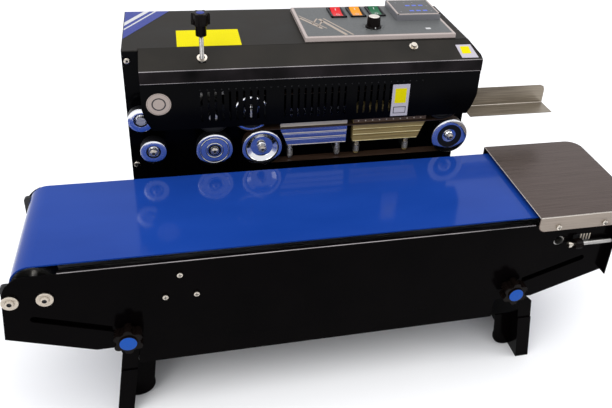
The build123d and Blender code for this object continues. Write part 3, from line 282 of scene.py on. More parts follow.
FINISHES = {
    "black_paint": black_paint,
    "top_paint": top_paint,
    "blue_belt": blue_belt,
    "zinc_steel": zinc,
    "screw_steel": screw_metal,
    "spring_steel": spring_steel,
    "stainless": stainless,
    "wheel_chrome": chrome,
    "block_aluminium": aluminium,
    "block_brass": brass,
    "knob_plastic": knob_plastic,
    "housing_plastic": housing_plastic,
    "panel_skin": panel_skin,
    "red_plastic": red_plastic,
    "amber_plastic": amber_plastic,
    "green_plastic": green_plastic,
    "rubber": feet_rubber,
    "tyre_rubber": tyre_rubber,
    "band_tape": band_tape,
    "motor_paint": motor_paint,
}
slot_of = {entry["node"]: entry["material_slot"] for entry in frame["record"]["subparts"]}


def soften(piece, width, segments=2, angle=40):
    """Rounds the sharp edges a little, as on folded sheet and moulded parts."""
    weld = piece.modifiers.new("weld", "WELD")
    weld.merge_threshold = 0.00001
    bevel = piece.modifiers.new("bevel", "BEVEL")
    bevel.width = width
    bevel.segments = segments
    bevel.limit_method = "ANGLE"
    bevel.angle_limit = math.radians(angle)
    bevel.harden_normals = False


for name, cad in nodes.items():
    cad.data.materials.clear()
    cad.data.materials.append(FINISHES[slot_of[name]])

for name in ("front_hood", "head_casing", "mechanism_plate", "head_base"):
    nodes[name].data.materials[0] = head_paint
nodes["axle_blocks"].data.materials[0] = dark_steel
nodes["outfeed_guide"].data.materials[0] = guide_steel
nodes["temperature_controller"].data.materials[0] = grey_plastic
for name, width in (
    ("control_panel", 1.2),
    ("speed_knob", 0.8),
    ("left_leg_knob", 1.3),
    ("right_leg_knob", 1.3),
    ("pressure_knob", 1.0),
):
    soften(nodes[name], width * MM)


# ---------------------------------------------------------------- mesh tools
def finish_mesh(name, body, build, materials, sharp=32.0):
    """Turns a bmesh into a piece that rides on a body, smooth except at its sharp edges."""
    bmesh.ops.recalc_face_normals(build, faces=build.faces)
    limit = math.radians(sharp)
    for edge in build.edges:
        if len(edge.link_faces) == 2:
            edge.smooth = edge.calc_face_angle(0.0) < limit
    for face in build.faces:
        face.smooth = True
    mesh = bpy.data.meshes.new(name)
    build.to_mesh(mesh)
    build.free()
    for material in materials:
        mesh.materials.append(material)
    piece = bpy.data.objects.new(name, mesh)
    bpy.context.scene.collection.objects.link(piece)
    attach(piece, body)
    return piece


def turned(name, body, place, axis, profile, materials, steps=64):
    """Turned part; a profile row is radius and distance along the axis in mm, and the next band's material."""
    spin = axis.to_track_quat("Z", "Y").to_matrix()
    build = bmesh.new()
    rings = []
    for radius, along, _ in profile:
        if radius < 0.01:
            rings.append([build.verts.new(Vector(place) + spin @ Vector((0, 0, along * MM)))])
            continue
        ring = []
        for k in range(steps):
            angle = 2 * math.pi * k / steps
            spot = Vector((radius * MM * math.cos(angle), radius * MM * math.sin(angle), along * MM))
            ring.append(build.verts.new(Vector(place) + spin @ spot))
        rings.append(ring)
    for (near, far), (_, _, which) in zip(zip(rings, rings[1:]), profile):
        for k in range(steps):
            j = (k + 1) % steps
            if len(near) == 1 and len(far) == 1:
                continue
            if len(near) == 1:
                face = build.faces.new((near[0], far[j], far[k]))
            elif len(far) == 1:
                face = build.faces.new((near[k], near[j], far[0]))
            else:
                face = build.faces.new((near[k], near[j], far[j], far[k]))
            face.material_index = which
    return finish_mesh(name, body, build, materials)


def prism(name, body, outline, push, material, round_off=0.0):
    """Extrudes a flat outline (points in mm) along a vector in mm, and rounds its edges."""
    build = bmesh.new()
    near = [build.verts.new(Vector(point) * MM) for point in outline]
    far = [build.verts.new((Vector(point) + Vector(push)) * MM) for point in outline]
    build.faces.new(near)
    build.faces.new(far[::-1])
    count = len(outline)
    for k in range(count):
        j = (k + 1) % count
        build.faces.new((near[k], far[k], far[j], near[j]))
    bmesh.ops.recalc_face_normals(build, faces=build.faces)
    if round_off > 0:
        bmesh.ops.bevel(build, geom=build.edges[:], offset=round_off * MM, segments=2, affect="EDGES")
    return finish_mesh(name, body, build, [material])


def slab(name, body, low, high, material, round_off=0.3):
    """Block with rounded edges between two corners in mm."""
    (x0, y0, z0), (x1, y1, z1) = low, high
    outline = [(x0, y0, z0), (x1, y0, z0), (x1, y0, z1), (x0, y0, z1)]
    return prism(name, body, outline, (0, y1 - y0, 0), material, round_off)


def rod_along(name, body, path, radius, material, sides=8):
    """Round bead swept along a path of points in mm, as a mesh."""
    build = bmesh.new()
    rings = []
    for k, point in enumerate(path):
        before = Vector(path[max(k - 1, 0)])
        after = Vector(path[min(k + 1, len(path) - 1)])
        turn = (after - before).to_track_quat("Z", "Y").to_matrix()
        ring = []
        for m in range(sides):
            angle = 2 * math.pi * m / sides
            spot = turn @ Vector((radius * math.cos(angle), radius * math.sin(angle), 0))
            ring.append(build.verts.new((Vector(point) + spot) * MM))
        rings.append(ring)
    for near, far in zip(rings, rings[1:]):
        for m in range(sides):
            j = (m + 1) % sides
            build.faces.new((near[m], near[j], far[j], far[m]))
    build.faces.new(rings[0][::-1])
    build.faces.new(rings[-1])
    return finish_mesh(name, body, build, [material], 60.0)


def helix(centre, low_z, high_z, coil_r, turns, per_turn=20):
    """Points of an upright coil with closed ends, in mm."""
    points = []
    total = int(turns * per_turn)
    for k in range(total + 1):
        angle = 2 * math.pi * k / per_turn
        share = min(max((k / per_turn - 0.6) / (turns - 1.2), 0.0), 1.0)
        height = low_z + (high_z - low_z) * share
        points.append((centre[0] + coil_r * math.cos(angle), centre[1] + coil_r * math.sin(angle), height))
    return points


# ---------------------------------------------------------------- band and press wheels
BAND_WHEEL_R = 29.0  # wheels with a larger rim have a thin lip before the tread
LIP_THICK = 3.4
BORE_R = 5.1
DEEP_DISH = 5.0  # dishes deeper than this have turned steps


def rim_rows(outer, back):
    """Rows of a wheel's rear face, tread and front rim; a band wheel has a thin lip before its tread. The rim's
    outer face gets the second, dark finish as painted shade.
    """
    if outer > BAND_WHEEL_R:
        tread = [(outer - 2.0, back, 0), (outer - 2.0, -LIP_THICK, 0), (outer, -LIP_THICK, 1)]
    else:
        tread = [(outer - 2.5, back, 0), (outer - 0.6, back + 0.6, 0), (outer, back + 1.6, 1)]
    return [(BORE_R, back, 0)] + tread + [
        (outer, -0.9, 0),
        (outer - 0.3, -0.25, 0),
        (outer - 0.8, 0.0, 0),
    ]


def dished(outer, groove_from, groove_to, dish_depth, hub, back):
    """Wheel profile from the rear bore to the front hub: rim, ring, groove, dish and hub; the groove is darkened
    as painted shade.
    """
    ring_dip = 0.045 * (outer - groove_from)
    dish = []
    if dish_depth > DEEP_DISH:
        # turned steps down the side of the dish, which ends in a flat floor
        steps = 5
        for k in range(steps):
            radius = groove_to - 0.3 - 1.5 * k
            depth = 2.4 + (dish_depth - 2.4) * (k + 1) / steps
            dish += [(radius, -depth + 0.45, 0), (radius - 0.5, -depth, 0)]
    dish.append((hub + 0.4, -dish_depth, 0))
    return rim_rows(outer, back) + [
        (groove_from + 0.4, -ring_dip, 1),
        (groove_from, -1.8, 1),
        (groove_to, -2.2, 0),
    ] + dish + [
        (hub, -dish_depth + 0.6, 0),
        (hub - 0.5, -dish_depth + 1.1, 0),
        (BORE_R, -dish_depth + 1.2, 0),
        (BORE_R, back, 0),
    ]


def ringed(outer, back):
    """Wheel profile with two raised beads, flat rings between them and a groove round the hub; the trenches beside
    the beads and the groove are darkened as painted shade.
    """
    beads = []
    for bead in (outer - 5.6, outer - 14.4):
        beads += [
            (bead + 1.2, -0.06, 1),
            (bead + 0.9, -0.9, 0),
            (bead + 0.5, 0.2, 0),
            (bead, 0.45, 0),
            (bead - 0.5, 0.2, 1),
            (bead - 0.9, -0.9, 0),
            (bead - 1.2, -0.3, 0),
        ]
    inner = outer - 16.6
    return rim_rows(outer, back) + beads + [
        (inner, -0.32, 1),
        (inner - 0.4, -2.0, 1),
        (inner - 3.0, -2.2, 0),
        (inner - 3.3, -0.9, 0),
        (inner - 4.0, -0.6, 0),
        (BORE_R, -0.6, 0),
        (BORE_R, back, 0),
    ]


def screw_head(name, body, place, radius, height, colour, dark):
    """Domed screw head with a recess in the middle, darkened inside with the dark finish as painted shade."""
    profile = [
        (radius, 0.0, 0),
        (radius, height * 0.35, 0),
        (radius * 0.9, height * 0.7, 0),
        (radius * 0.6, height * 0.95, 0),
        (radius * 0.46, height, 0),
        (radius * 0.42, height * 0.96, 1),
        (radius * 0.38, height * 0.45, 1),
        (0.0, height * 0.4, 1),
    ]
    return turned(name, body, place, FRONT, profile, [colour, dark], 32)


WHEELS = (
    # body, front y, thickness, rim radius, dished face or None for a ringed one, dark tyre; a dished face is
    # groove from, groove to, dish depth and hub radius
    ("lower_drive", 16.0, 20.0, 29.2, (24.2, 23.0, 6.2, 6.4), False),
    ("lower_idler", 16.0, 20.0, 29.2, (19.5, 11.0, 2.8, 6.2), False),
    ("lower_press", 16.0, 18.0, 26.0, None, False),
    ("upper_drive", 20.5, 15.5, 27.2, (23.5, 14.0, 5.0, 8.5), False),
    ("upper_idler", 20.5, 15.5, 27.2, (23.5, 14.0, 5.0, 8.5), True),
    ("upper_press", 20.5, 13.5, 25.0, (23.5, 13.0, 4.0, 9.0), True),
    ("lower_guide", 16.0, 18.0, 18.0, (9.8, 8.4, 3.4, 6.2), False),
    ("upper_guide", 20.5, 13.5, 18.0, (9.8, 8.4, 3.4, 6.2), False),
)
for body, front, thick, rim, face, tyre in WHEELS:
    node_name = body + "_wheel"
    axis_place = joint_place(body + "_spin")
    centre = Vector((axis_place.x, front * MM, axis_place.z))
    profile = dished(rim, *face, -thick) if face else ringed(rim, -thick)
    # the second finish, on grooves, bead trenches and rim faces, is dark rubber as painted shade on a chrome wheel
    face_and_painted_shade = [tyre_rubber if tyre else chrome, tyre_rubber]
    wheel = turned(node_name + "_turned", body, centre, FRONT, profile, face_and_painted_shade)
    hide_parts(node_name)

for label, body, front in (
    ("lower_drive", "lower_drive", 13.6),
    ("lower_press", "lower_press", 13.6),
    ("lower_idler", "machine", 13.5),
    ("lower_guide", "machine", 13.5),
):
    axis_place = joint_place(label + "_spin")
    spot = Vector((axis_place.x, (front - 0.02) * MM, axis_place.z))
    screw_head(label + "_screw", body, spot, 5.2, 2.4, screw_metal, dark_print_and_painted_shade)

# ---------------------------------------------------------------- blocks: ridges, guide pins and springs
RIDGE_Y = 23.9  # just in front of the blocks
FLANK_HEIGHT = 30.0  # of the blocks' slanting ends
for label, x_from, x_to, ridge, slant_left, slant_right in (
    ("cooling", -63.0, 39.0, cream_metal, 12.0, 1.0),
    ("heating", 48.0, 164.0, brass_ridge, 1.0, 12.0),
):
    block_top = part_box(f"lower_{label}_block")[1].z / MM
    for number, share in enumerate((0.30, 0.60, 0.97)):
        z = block_top - FLANK_HEIGHT * share
        left = x_from + slant_left * share + 0.4
        right = x_to - slant_right * share - 0.4
        bead = [(left, RIDGE_Y, z), ((left + right) / 2, RIDGE_Y, z), (right, RIDGE_Y, z)]
        rod_along(f"{label}_ridge_{number}", label + "_block", bead, 0.55, ridge)

BAR_Y = 23.2  # front of the bars on the upper blocks
upper_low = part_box("upper_cooling_block")[0].z / MM
for label, x_from, x_to, finish in (
    ("cooling", -62.5, 38.5, cream_metal),
    ("heating", 48.5, 163.5, band_top),
):
    low_corner = (x_from, BAR_Y, upper_low + 0.2)
    high_corner = (x_to, BAR_Y + 0.75, upper_low + 9.0)
    slab(label + "_bar", "machine", low_corner, high_corner, finish, 0.2)
rivet_rows = [(1.2, 0.0, 0), (0.9, 0.5, 0), (0.0, 0.7, 0)]
for k in range(10):
    spot = Vector((56.0 + 11.0 * k, BAR_Y, upper_low + 3.6)) * MM
    turned(f"heating_rivet_{k}", "machine", spot, FRONT, rivet_rows, [cream_metal], 12)

sleeve = [(3.15, 264.4, 0), (4.6, 264.4, 0)]
for k in range(6):
    sleeve += [(5.1, 265.0 + 1.65 * k, 0), (5.1, 266.0 + 1.65 * k, 0), (4.7, 266.3 + 1.65 * k, 0)]
sleeve += [(4.6, 274.9, 0), (3.15, 274.9, 0)]
for label, places in GUIDE_PINS.items():
    for end, x in zip("ab", places):
        spot = Vector((x, GUIDE_PIN_Y, 0)) * MM
        turned(f"{label}_{end}_sleeve", "machine", spot, UP, sleeve, [zinc], 28)
for label, places in GUIDE_PINS.items():
    low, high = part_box(label + "_block_springs")
    for k, x in enumerate(places):
        path = helix((x, GUIDE_PIN_Y), low.z / MM + 0.5, high.z / MM - 0.5, 4.05, 4.2)
        coil = rod_along(f"{label}_coil_{k}", "machine", path, 0.45, spring_steel, 6)
        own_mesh(coil)
    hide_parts(label + "_block_springs")
low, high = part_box("pressure_spring")
press_path = helix(PRESS_ROD, low.z / MM + 0.6, high.z / MM - 0.6, 4.2, 5.2)
press_coil = rod_along("pressure_coil", "machine", press_path, 0.5, spring_steel, 6)
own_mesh(press_coil)
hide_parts("pressure_spring")

# ---------------------------------------------------------------- hood: folds, strip finish and labels
hood_left = -255.0
hood_right = 238.0
lip_low = (hood_left + 0.2, 12.9, 399.6)
lip_high = (hood_right - 0.2, 13.3, 416.6)
slab("hood_lip_face", "machine", lip_low, lip_high, lip_paint, 0.15)
# the light beads along the lip and step folds are painted highlights
for label, y, z, radius in (("lip", 13.6, 417.0, 0.7), ("step", 13.3, 399.2, 0.55)):
    fold = [(hood_left + 0.5, y, z), (-8, y, z), (hood_right - 0.5, y, z)]
    rod_along(f"hood_{label}_edge", "machine", fold, radius, painted_highlight)
slope = Vector((0, 41.0, 16.4)).normalized()
lift = Vector((0, -slope.z, slope.y))


def on_strip(x, run, rise=0.01):
    """Point over the hood's sloping strip: run is measured up the slope from the lip, in mm."""
    return tuple(Vector((x, 14.0, 417.5)) + slope * run + lift * rise)


def strip_patch(name, x_from, x_to, run_from, run_to, thick, material):
    """Thin patch that lies on the sloping strip."""
    outline = [on_strip(x_from, run_from), on_strip(x_to, run_from)]
    outline += [on_strip(x_to, run_to), on_strip(x_from, run_to)]
    return prism(name, "machine", outline, tuple(lift * thick), material)


strip_skin = 0.25
hole_left = PRESS_ROD[0] - 4.9
hole_right = PRESS_ROD[0] + 4.9
strip_patch("strip_left", hood_left + 0.1, hole_left, 0.4, 43.9, strip_skin, top_paint)
outline = [
    on_strip(hole_right, 0.4),
    on_strip(hood_right - 0.6, 0.4),
    on_strip(hood_right - 1.8, 5.0),
    on_strip(227.0, 43.0),
    on_strip(hole_right, 43.9),
]
prism("strip_right", "machine", outline, tuple(lift * strip_skin), top_paint)
strip_patch("strip_low", hole_left, hole_right, 0.4, 12.0, strip_skin, top_paint)
strip_patch("strip_high", hole_left, hole_right, 31.5, 43.9, strip_skin, top_paint)
outline = [on_strip(206.0, 3.5), on_strip(232.0, 3.0), on_strip(227.0, 31.0), on_strip(203.0, 31.0)]
prism("strip_label", "machine", outline, tuple(lift * 0.5), label_white)
strip_patch("strip_label_block", 209.0, 223.0, 12.0, 27.0, 0.65, label_yellow)

washer_place = Vector(on_strip(PRESS_ROD[0], 22.0, 0.3)) * MM
washer_rows = [(3.7, 0, 0), (7.2, 0, 0), (7.4, 0.6, 0), (7.0, 1.2, 0), (3.9, 1.2, 0), (3.7, 0, 0)]
turned("rod_washer", "machine", washer_place, lift, washer_rows, [screw_metal], 40)

round_place = Vector((-232.0, 14.5, 368.0)) * MM
disc_rows = [(16.5, 0, 1), (16.5, 0.3, 0), (15.3, 0.35, 1), (15.0, 0.35, 0), (0.0, 0.35, 0)]
ring_rows = [(9.5, 0.3, 0), (9.5, 0.5, 0), (7.9, 0.5, 0), (7.9, 0.3, 0)]
turned("round_label", "machine", round_place, FRONT, disc_rows, [label_cream, dark_print_and_painted_shade], 64)
turned("round_label_ring", "machine", round_place, FRONT, ring_rows, [dark_print_and_painted_shade], 48)
slab("plate_label", "machine", (102.0, 14.1, 329.5), (128.5, 14.5, 381.6), label_white, 0.1)
slab("plate_label_block", "machine", (106.5, 13.95, 351.0), (124.0, 14.2, 375.0), label_yellow, 0.1)
slab("plate_label_bar", "machine", (105.5, 13.95, 334.0), (125.0, 14.2, 345.0), dark_print_and_painted_shade, 0.1)
slab("plate_label_bar_fill", "machine", (106.5, 13.85, 335.0), (124.0, 14.1, 344.0), label_white, 0.1)
dot_rows = [(0.7, 0.0, 0), (0.6, 0.12, 0), (0.0, 0.16, 0)]
for k in range(34):
    spot = Vector((-176.0 + 9.8 * k, 14.5, 386.5)) * MM
    turned(f"hood_dot_{k}", "machine", spot, FRONT, dot_rows, [dark_steel], 8)

# ---------------------------------------------------------------- top plate labels
top_z = 434.0
slab("top_yellow", "machine", (-203.0, 56.5, top_z), (-114.0, 118.0, top_z + 0.3), label_yellow, 0.1)
corner = [(-276.0, 202.5, top_z), (-211.0, 202.5, top_z), (-276.0, 92.0, top_z)]
prism("top_blue", "machine", corner, (0, 0, 0.25), label_blue)
# two pale stripes across the blue corner, placed as shares of its sides
for k, (near, wide) in enumerate(((0.42, 0.13), (0.66, 0.05))):
    outline = []
    for share in (near, near + wide):
        outline.append((-276.0 + 65.0 * share, 202.0, top_z + 0.1))
    for share in (near + wide, near):
        outline.append((-275.8, 202.5 - 110.0 * share, top_z + 0.1))
    prism(f"top_stripe_{k}", "machine", outline, (0, 0, 0.3), mark_white)

# ---------------------------------------------------------------- control panel
panel_z = 441.5
slab("panel_face", "machine", (-18.5, 62.5, panel_z - 0.1), (204.5, 184.5, panel_z + 0.25), panel_face, 0.1)
for k, (x_from, y_from, x_to, y_to, wide) in enumerate((
    (-17.0, 138.0, 9.0, 92.0, 4.0),
    (-17.0, 148.0, 16.0, 92.0, 2.0),
    (12.0, 132.0, 40.0, 64.0, 5.0),
    (19.0, 134.0, 50.0, 64.0, 2.6),
    (-2.0, 112.0, 9.0, 134.0, 2.4),
    (4.0, 100.0, 16.0, 124.0, 2.4),
)):
    along = Vector((x_to - x_from, y_to - y_from, 0)).normalized()
    across_line = Vector((-along.y, along.x, 0)) * wide / 2
    ends = [Vector((x_from, y_from, panel_z + 0.2)), Vector((x_to, y_to, panel_z + 0.2))]
    outline = [ends[0] - across_line, ends[1] - across_line, ends[1] + across_line, ends[0] + across_line]
    prism(f"panel_line_{k}", "machine", [tuple(point) for point in outline], (0, 0, 0.2), panel_line)

rocker_tilt = Matrix.Rotation(math.radians(6.0), 3, "X")


def on_rocker(pivot, dx, dy, dz):
    """Point over a rocker's dished top; dz is the height above its skin."""
    skin = 1.6 + 1.8 * (dy / 15.6) ** 2 + 2.0
    return tuple(pivot + rocker_tilt @ Vector((dx, dy, skin + dz)))


for colour, x, y in (("red", 45.0, 156.5), ("amber", 76.5, 157.0), ("green", 108.5, 158.5)):
    pivot = Vector((x, y, 439.5))
    bar_corners = ((-0.6, 6.5), (0.6, 6.5), (0.6, 11.5), (-0.6, 11.5))
    bar = [on_rocker(pivot, dx, dy, 0.02) for dx, dy in bar_corners]
    prism(colour + "_bar", colour + "_switch", bar, (0, 0, 0.3), mark_white)
    ring = []
    for k in range(25):
        angle = 2 * math.pi * k / 24
        ring.append(on_rocker(pivot, 2.6 * math.cos(angle), -9.0 + 2.9 * math.sin(angle), 0.1))
    rod_along(colour + "_ring", colour + "_switch", ring, 0.35, mark_white, 6)
    for n, (x0, x1, y0, y1) in enumerate((
        (-12.4, -9.4, -21.3, 21.3),
        (9.4, 12.4, -21.3, 21.3),
        (-12.4, 12.4, -21.3, -18.3),
        (-12.4, 12.4, 18.3, 21.3),
    )):
        low_corner = (x + x0, y + y0, panel_z + 0.1)
        high_corner = (x + x1, y + y1, panel_z + 2.9)
        slab(f"{colour}_bezel_{n}", "machine", low_corner, high_corner, housing_plastic, 0.6)

dial_x = 88.0
dial_y = 93.0
dial_place = Vector((dial_x, dial_y, panel_z)) * MM
skirt_rows = [(6.0, 0.35, 0), (12.4, 0.35, 0), (12.4, 1.6, 0), (11.6, 2.8, 0), (10.6, 3.2, 0)]
grip_rows = [(10.3, 5.0, 0), (9.7, 16.0, 0), (9.2, 16.9, 0), (8.2, 17.2, 1), (7.6, 17.6, 1), (0.0, 17.8, 1)]
dial_finishes = [knob_plastic, painted_fold_highlight_and_cap_metal]
turned("speed_knob_turned", "speed_dial", dial_place, UP, skirt_rows + grip_rows, dial_finishes, 48)
pointer_low = (dial_x - 0.8, 80.6, panel_z + 1.5)
pointer_high = (dial_x + 0.8, 84.2, panel_z + 3.6)
slab("speed_pointer", "speed_dial", pointer_low, pointer_high, mark_white, 0.2)
for k in range(11):
    angle = math.radians(-225.0 + 27.0 * k)
    way = Vector((math.cos(angle), math.sin(angle), 0))
    beside = Vector((-way.y, way.x, 0)) * 0.45
    root = Vector((dial_x, dial_y, panel_z + 0.2))
    tick_corners = ((14.5, -1), (17.5, -1), (17.5, 1), (14.5, 1))
    outline = [tuple(root + way * reach + beside * side) for reach, side in tick_corners]
    prism(f"speed_tick_{k}", "machine", outline, (0, 0, 0.2), dark_print_and_painted_shade)
slab("panel_mark", "machine", (168.0, 78.0, panel_z + 0.2), (176.0, 84.0, panel_z + 0.4), mark_white, 0.05)

# temperature controller: pale frame, dark window, two rows of plain blue blocks and its keys
unit_z = panel_z + 10.0
for n, (x0, x1, y0, y1) in enumerate((
    (133.4, 136.2, 117.4, 185.6),
    (200.8, 203.6, 117.4, 185.6),
    (133.4, 203.6, 117.4, 120.2),
    (133.4, 203.6, 182.8, 185.6),
)):
    slab(f"unit_frame_{n}", "machine", (x0, y0, unit_z - 0.8), (x1, y1, unit_z + 0.35), panel_skin, 0.3)
window_low = (136.0, 120.0, unit_z - 0.3)
window_high = (201.0, 183.0, unit_z + 0.15)
slab("unit_window", "machine", window_low, window_high, display_glass, 0.1)
for row, y in enumerate((155.0, 131.0)):
    for k in range(3):
        x = 158.0 + 11.0 * k
        high_corner = (x + 7.5, y + 5.5, unit_z + 0.25)
        slab(f"digit_{row}_{k}", "machine", (x, y, unit_z + 0.1), high_corner, display_blue, 0.05)
key_rows = [(1.7, 0.0, 0), (1.5, 0.2, 0), (0.0, 0.25, 0)]
key_places = ((143.0, 131.0), (193.5, 131.0), (193.5, 155.0), (146.0, 172.0), (160.0, 172.0), (174.0, 172.0))
for k, (x, y) in enumerate(key_places):
    spot = Vector((x, y, unit_z + 0.1)) * MM
    turned(f"unit_key_{k}", "machine", spot, UP, key_rows, [grey_plastic], 16)

# ---------------------------------------------------------------- pressure screw with its thread
thread_low = 401.3
thread_length = 73.0
pitch = 1.6
thread = [(0.0, thread_low - 0.3, 0)]
for k in range(int(thread_length / pitch)):
    thread += [(2.75, thread_low + k * pitch, 0), (3.2, thread_low + (k + 0.5) * pitch, 0)]
thread.append((0.0, 474.9, 0))
screw = turned("pressure_thread", "pressure_dial", Vector((*PRESS_ROD, 0)) * MM, UP, thread, [zinc], 24)
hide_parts("pressure_screw")
cap_place = Vector((*PRESS_ROD, 491.0)) * MM
cap_rows = [(5.6, -0.4, 0), (5.4, 0.2, 0), (4.0, 0.5, 0), (0.0, 0.6, 0)]
turned("pressure_cap", "pressure_dial", cap_place, UP, cap_rows, [label_blue], 32)

# ---------------------------------------------------------------- star knobs: blue caps and lobe edges
LOBE_CENTRE_R = 13.5
LOBE_R = 4.7
cap_rows = [(11.2, -0.6, 1), (11.2, 0.2, 1), (10.4, 0.5, 0), (9.6, 0.6, 0), (5.0, 0.9, 0), (0.0, 1.0, 0)]
for label, joint in (("left", "left_leg_knob_turn"), ("right", "right_leg_knob_turn")):
    place = joint_place(joint)
    front = Vector((place.x, -0.205, place.z))
    turned(label + "_knob_cap", label + "_leg_knob", front, FRONT, cap_rows, [cap_blue, knob_plastic], 48)
    for k in range(6):
        angle = math.radians(90 + 60 * k)
        lobe_x = place.x / MM + LOBE_CENTRE_R * math.cos(angle)
        lobe_z = place.z / MM + LOBE_CENTRE_R * math.sin(angle)
        arc = []
        for m in range(9):
            sweep = angle + math.radians(-60 + 15 * m)
            arc.append((lobe_x + LOBE_R * math.cos(sweep), -203.4, lobe_z + LOBE_R * math.sin(sweep)))
        rod_along(f"{label}_lobe_{k}", label + "_leg_knob", arc, 0.35, knob_plastic, 6)

# ---------------------------------------------------------------- conveyor screws, washers and take-up
# bands marked 1 are painted shade: a narrow dark ring in the washer's cup and the inside of the screw's recess
cup_rows = [(9.9, 0.0, 0), (9.7, 0.7, 0), (8.6, 1.2, 0), (6.8, 0.5, 0), (5.4, 0.3, 1), (5.2, 0.3, 0)]
cup_rows += [(4.6, 2.6, 0), (3.6, 3.2, 0), (2.9, 3.1, 1), (2.7, 1.2, 1), (0.0, 1.1, 1)]
for k, x in enumerate((-412.0, -373.5)):
    spot = Vector((x, SIDE_SCREW_Y, 218.0)) * MM
    turned(f"cup_washer_{k}", "machine", spot, FRONT, cup_rows, [cream_metal, dark_print_and_painted_shade], 48)


def cross_screw(name, place, radius, height):
    """Domed screw head with a cross recess painted on as two dark bars, which are painted shade."""
    dome = [(radius, 0, 0), (radius * 0.95, height * 0.5, 0), (radius * 0.6, height * 0.9, 0), (0, height, 0)]
    turned(name, "machine", Vector(place) * MM, FRONT, dome, [screw_metal], 28)
    x, y, z = place
    front = y - height
    for n, (dx, dz) in enumerate(((radius * 0.62, 0.45), (0.45, radius * 0.62))):
        low_corner = (x - dx, front - 0.12, z - dz)
        high_corner = (x + dx, front + 0.5, z + dz)
        slab(f"{name}_cross_{n}", "machine", low_corner, high_corner, dark_print_and_painted_shade, 0.05)


for k, (x, z) in enumerate(((-217.0, 234.0), (-236.0, 201.0), (-198.0, 201.0))):
    cross_screw(f"tie_screw_{k}", (x, SIDE_SCREW_Y - 0.1, z), 3.7, 1.2)
for k, (x, z) in enumerate(((294.5, 249.0), (366.0, 249.5))):
    cross_screw(f"cover_screw_{k}", (x, -186.8, z), 4.1, 1.3)
for k, z in enumerate((420.0, 256.0)):
    spot = Vector((-270.0, 45.6, z)) * MM
    screw_head(f"casing_screw_{k}", "machine", spot, 4.3, 1.2, screw_metal, dark_print_and_painted_shade)

nut = [(2.6, 323.5, 0), (6.2, 323.5, 0)]
for k in range(7):
    nut += [(7.6, 324.4 + 1.5 * k, 0), (7.1, 325.1 + 1.5 * k, 0)]
nut += [(6.2, 335.2, 0), (2.6, 335.2, 0), (2.6, 323.5, 0)]
tip = [(0.0, 313.2, 0), (2.6, 313.5, 0), (4.2, 313.8, 0), (4.6, 315.5, 0), (4.2, 318.4, 0), (2.6, 318.8, 0)]
shank = [(2.6, 335.3, 0)]
for k in range(32):
    shank += [(3.15, 336.0 + 1.45 * k, 0), (2.85, 336.7 + 1.45 * k, 0)]
shank.append((2.6, 383.9, 0))
for side_y, way in ((-189.0, "front"), (14.0, "rear")):
    axle = Vector((0, side_y, TAKEUP_Z)) * MM
    turned("takeup_nut_" + way, "machine", axle, RIGHT, nut, [knob_plastic], 20)
    turned("takeup_tip_" + way, "machine", axle, RIGHT, tip, [screw_metal], 24)
    turned("takeup_thread_" + way, "machine", axle, RIGHT, shank, [zinc], 18)
# the ribs alternate light and dark finishes as painted glints and shade on a toothed face
for k in range(8):
    x = 333.0 + 2.3 * k
    finish = cream_metal if k % 2 else dark_steel
    slab(f"drive_rib_{k}", "machine", (x, -183.1, 220.0), (x + 1.6, -181.6, 230.8), finish, 0.3)

# ---------------------------------------------------------------- painted highlights along the folds of the stainless pieces
for name, path, radius in (
    ("cover_fold", [(265.0, -184.1, 265.4), (340.0, -184.1, 265.4), (419.0, -184.1, 265.4)], 0.9),
    ("cover_left_fold", [(264.5, -184.0, 265.8), (264.5, -90.0, 265.8), (264.5, 8.5, 265.8)], 0.6),
):
    rod_along(name, "machine", path, radius, painted_fold_highlight_and_cap_metal)
flange_y = -184.62
corner_r = 10.6
skin = [(265.0, flange_y, 265.2), (265.0, flange_y, 253.6)]
for k in range(1, 7):
    angle = math.radians(180 + 15 * k)
    skin.append((275.6 + corner_r * math.cos(angle), flange_y, 253.6 + corner_r * math.sin(angle)))
skin += [(419.0, flange_y, 243.0), (419.0, flange_y, 265.2)]
prism("cover_flange_skin", "machine", skin, (0, -0.35, 0), flange_steel)
fold_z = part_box("outfeed_guide")[0].z / MM + 1.4
guide_path = [(239.5, 59.8, fold_z), (310.0, 59.8, fold_z), (379.0, 59.8, fold_z)]
rod_along("guide_fold", "machine", guide_path, 0.6, painted_fold_highlight_and_cap_metal)
# light bead along the front plate's top edge, a painted highlight
plate_line = [(-356.0, -182.9, 253.7), (-50.0, -182.9, 253.7), (260.0, -182.9, 253.7)]
rod_along("front_plate_edge", "machine", plate_line, 0.55, painted_highlight)

# ---------------------------------------------------------------- left end of the tray, cut to the leg's lean
tray_low, tray_high = (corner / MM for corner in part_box("conveyor_tray"))
sheet = 1.5
tray_end = ((-276.4, tray_low.z), (-273.6, 112.0), (-269.2, tray_high.z))
for way, y in (("front", tray_low.y), ("rear", tray_high.y - sheet)):
    outline = [(tray_low.x, y, tray_low.z)]
    outline += [(x, y, z) for x, z in tray_end]
    outline.append((tray_low.x, y, tray_high.z))
    prism("tray_end_" + way, "machine", outline, (0, sheet, 0), black_paint)
floor_low = (tray_end[0][0], tray_low.y + sheet, tray_low.z)
floor_high = (tray_low.x, tray_high.y - sheet, tray_low.z + sheet)
slab("tray_end_floor", "machine", floor_low, floor_high, black_paint, 0.0)

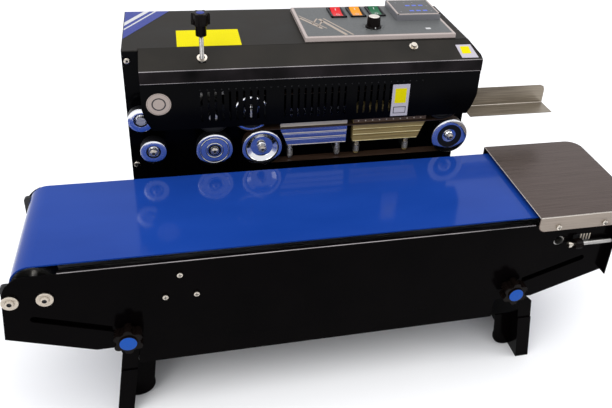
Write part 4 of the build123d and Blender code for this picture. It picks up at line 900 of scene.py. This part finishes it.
# ---------------------------------------------------------------- floor, light and camera
floor_mesh = bpy.data.meshes.new("floor")
floor_half = 6.0
corners = [(-floor_half, -floor_half, 0), (floor_half, -floor_half, 0), (floor_half, floor_half, 0)]
floor_mesh.from_pydata(corners + [(-floor_half, floor_half, 0)], [], [(0, 1, 2, 3)])
floor = bpy.data.objects.new("floor", floor_mesh)
bpy.context.scene.collection.objects.link(floor)
floor_mesh.materials.append(shader("floor_white", (0.86, 0.86, 0.86), 0.9, specular=0.1))
floor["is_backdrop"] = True

world = bpy.data.worlds.new("studio")
world.use_nodes = True
world.node_tree.nodes["Background"].inputs["Color"].default_value = (0.95, 0.96, 1.0, 1.0)
world.node_tree.nodes["Background"].inputs["Strength"].default_value = 1.0
bpy.context.scene.world = world


def softbox(name, place, target, size, power):
    """A soft rectangular area light that points at the target."""
    data = bpy.data.lights.new(name, "AREA")
    data.shape = "RECTANGLE"
    data.size, data.size_y = size
    data.energy = power
    light = bpy.data.objects.new(name, data)
    light.location = place
    light.rotation_mode = "QUATERNION"
    light.rotation_quaternion = (Vector(target) - Vector(place)).to_track_quat("-Z", "Y")
    bpy.context.scene.collection.objects.link(light)
    return light


aim = (0.0, 0.0, 0.25)
softbox("key", (-1.6, -1.6, 2.4), aim, (1.8, 1.8), 42.0)
softbox("top", (0.2, 0.1, 2.6), aim, (2.6, 2.0), 30.0)
softbox("rim", (2.2, -0.6, 1.5), aim, (1.2, 1.2), 14.0)

camera_data = bpy.data.cameras.new("camera")
camera_data.sensor_width = 36.0
camera_data.lens = 41.056
camera_data.shift_x = -0.06743
camera_data.shift_y = -0.11232
camera = bpy.data.objects.new("camera", camera_data)
camera.location = (-0.20686, -0.86738, 0.81245)
camera.rotation_euler = Euler([math.radians(a) for a in (60.728, -3.582, -13.488)], "XYZ")
bpy.context.scene.collection.objects.link(camera)
bpy.context.scene.camera = camera
bpy.context.scene.view_settings.view_transform = "Standard"

# ---------------------------------------------------------------- size of the finished model
low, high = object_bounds()
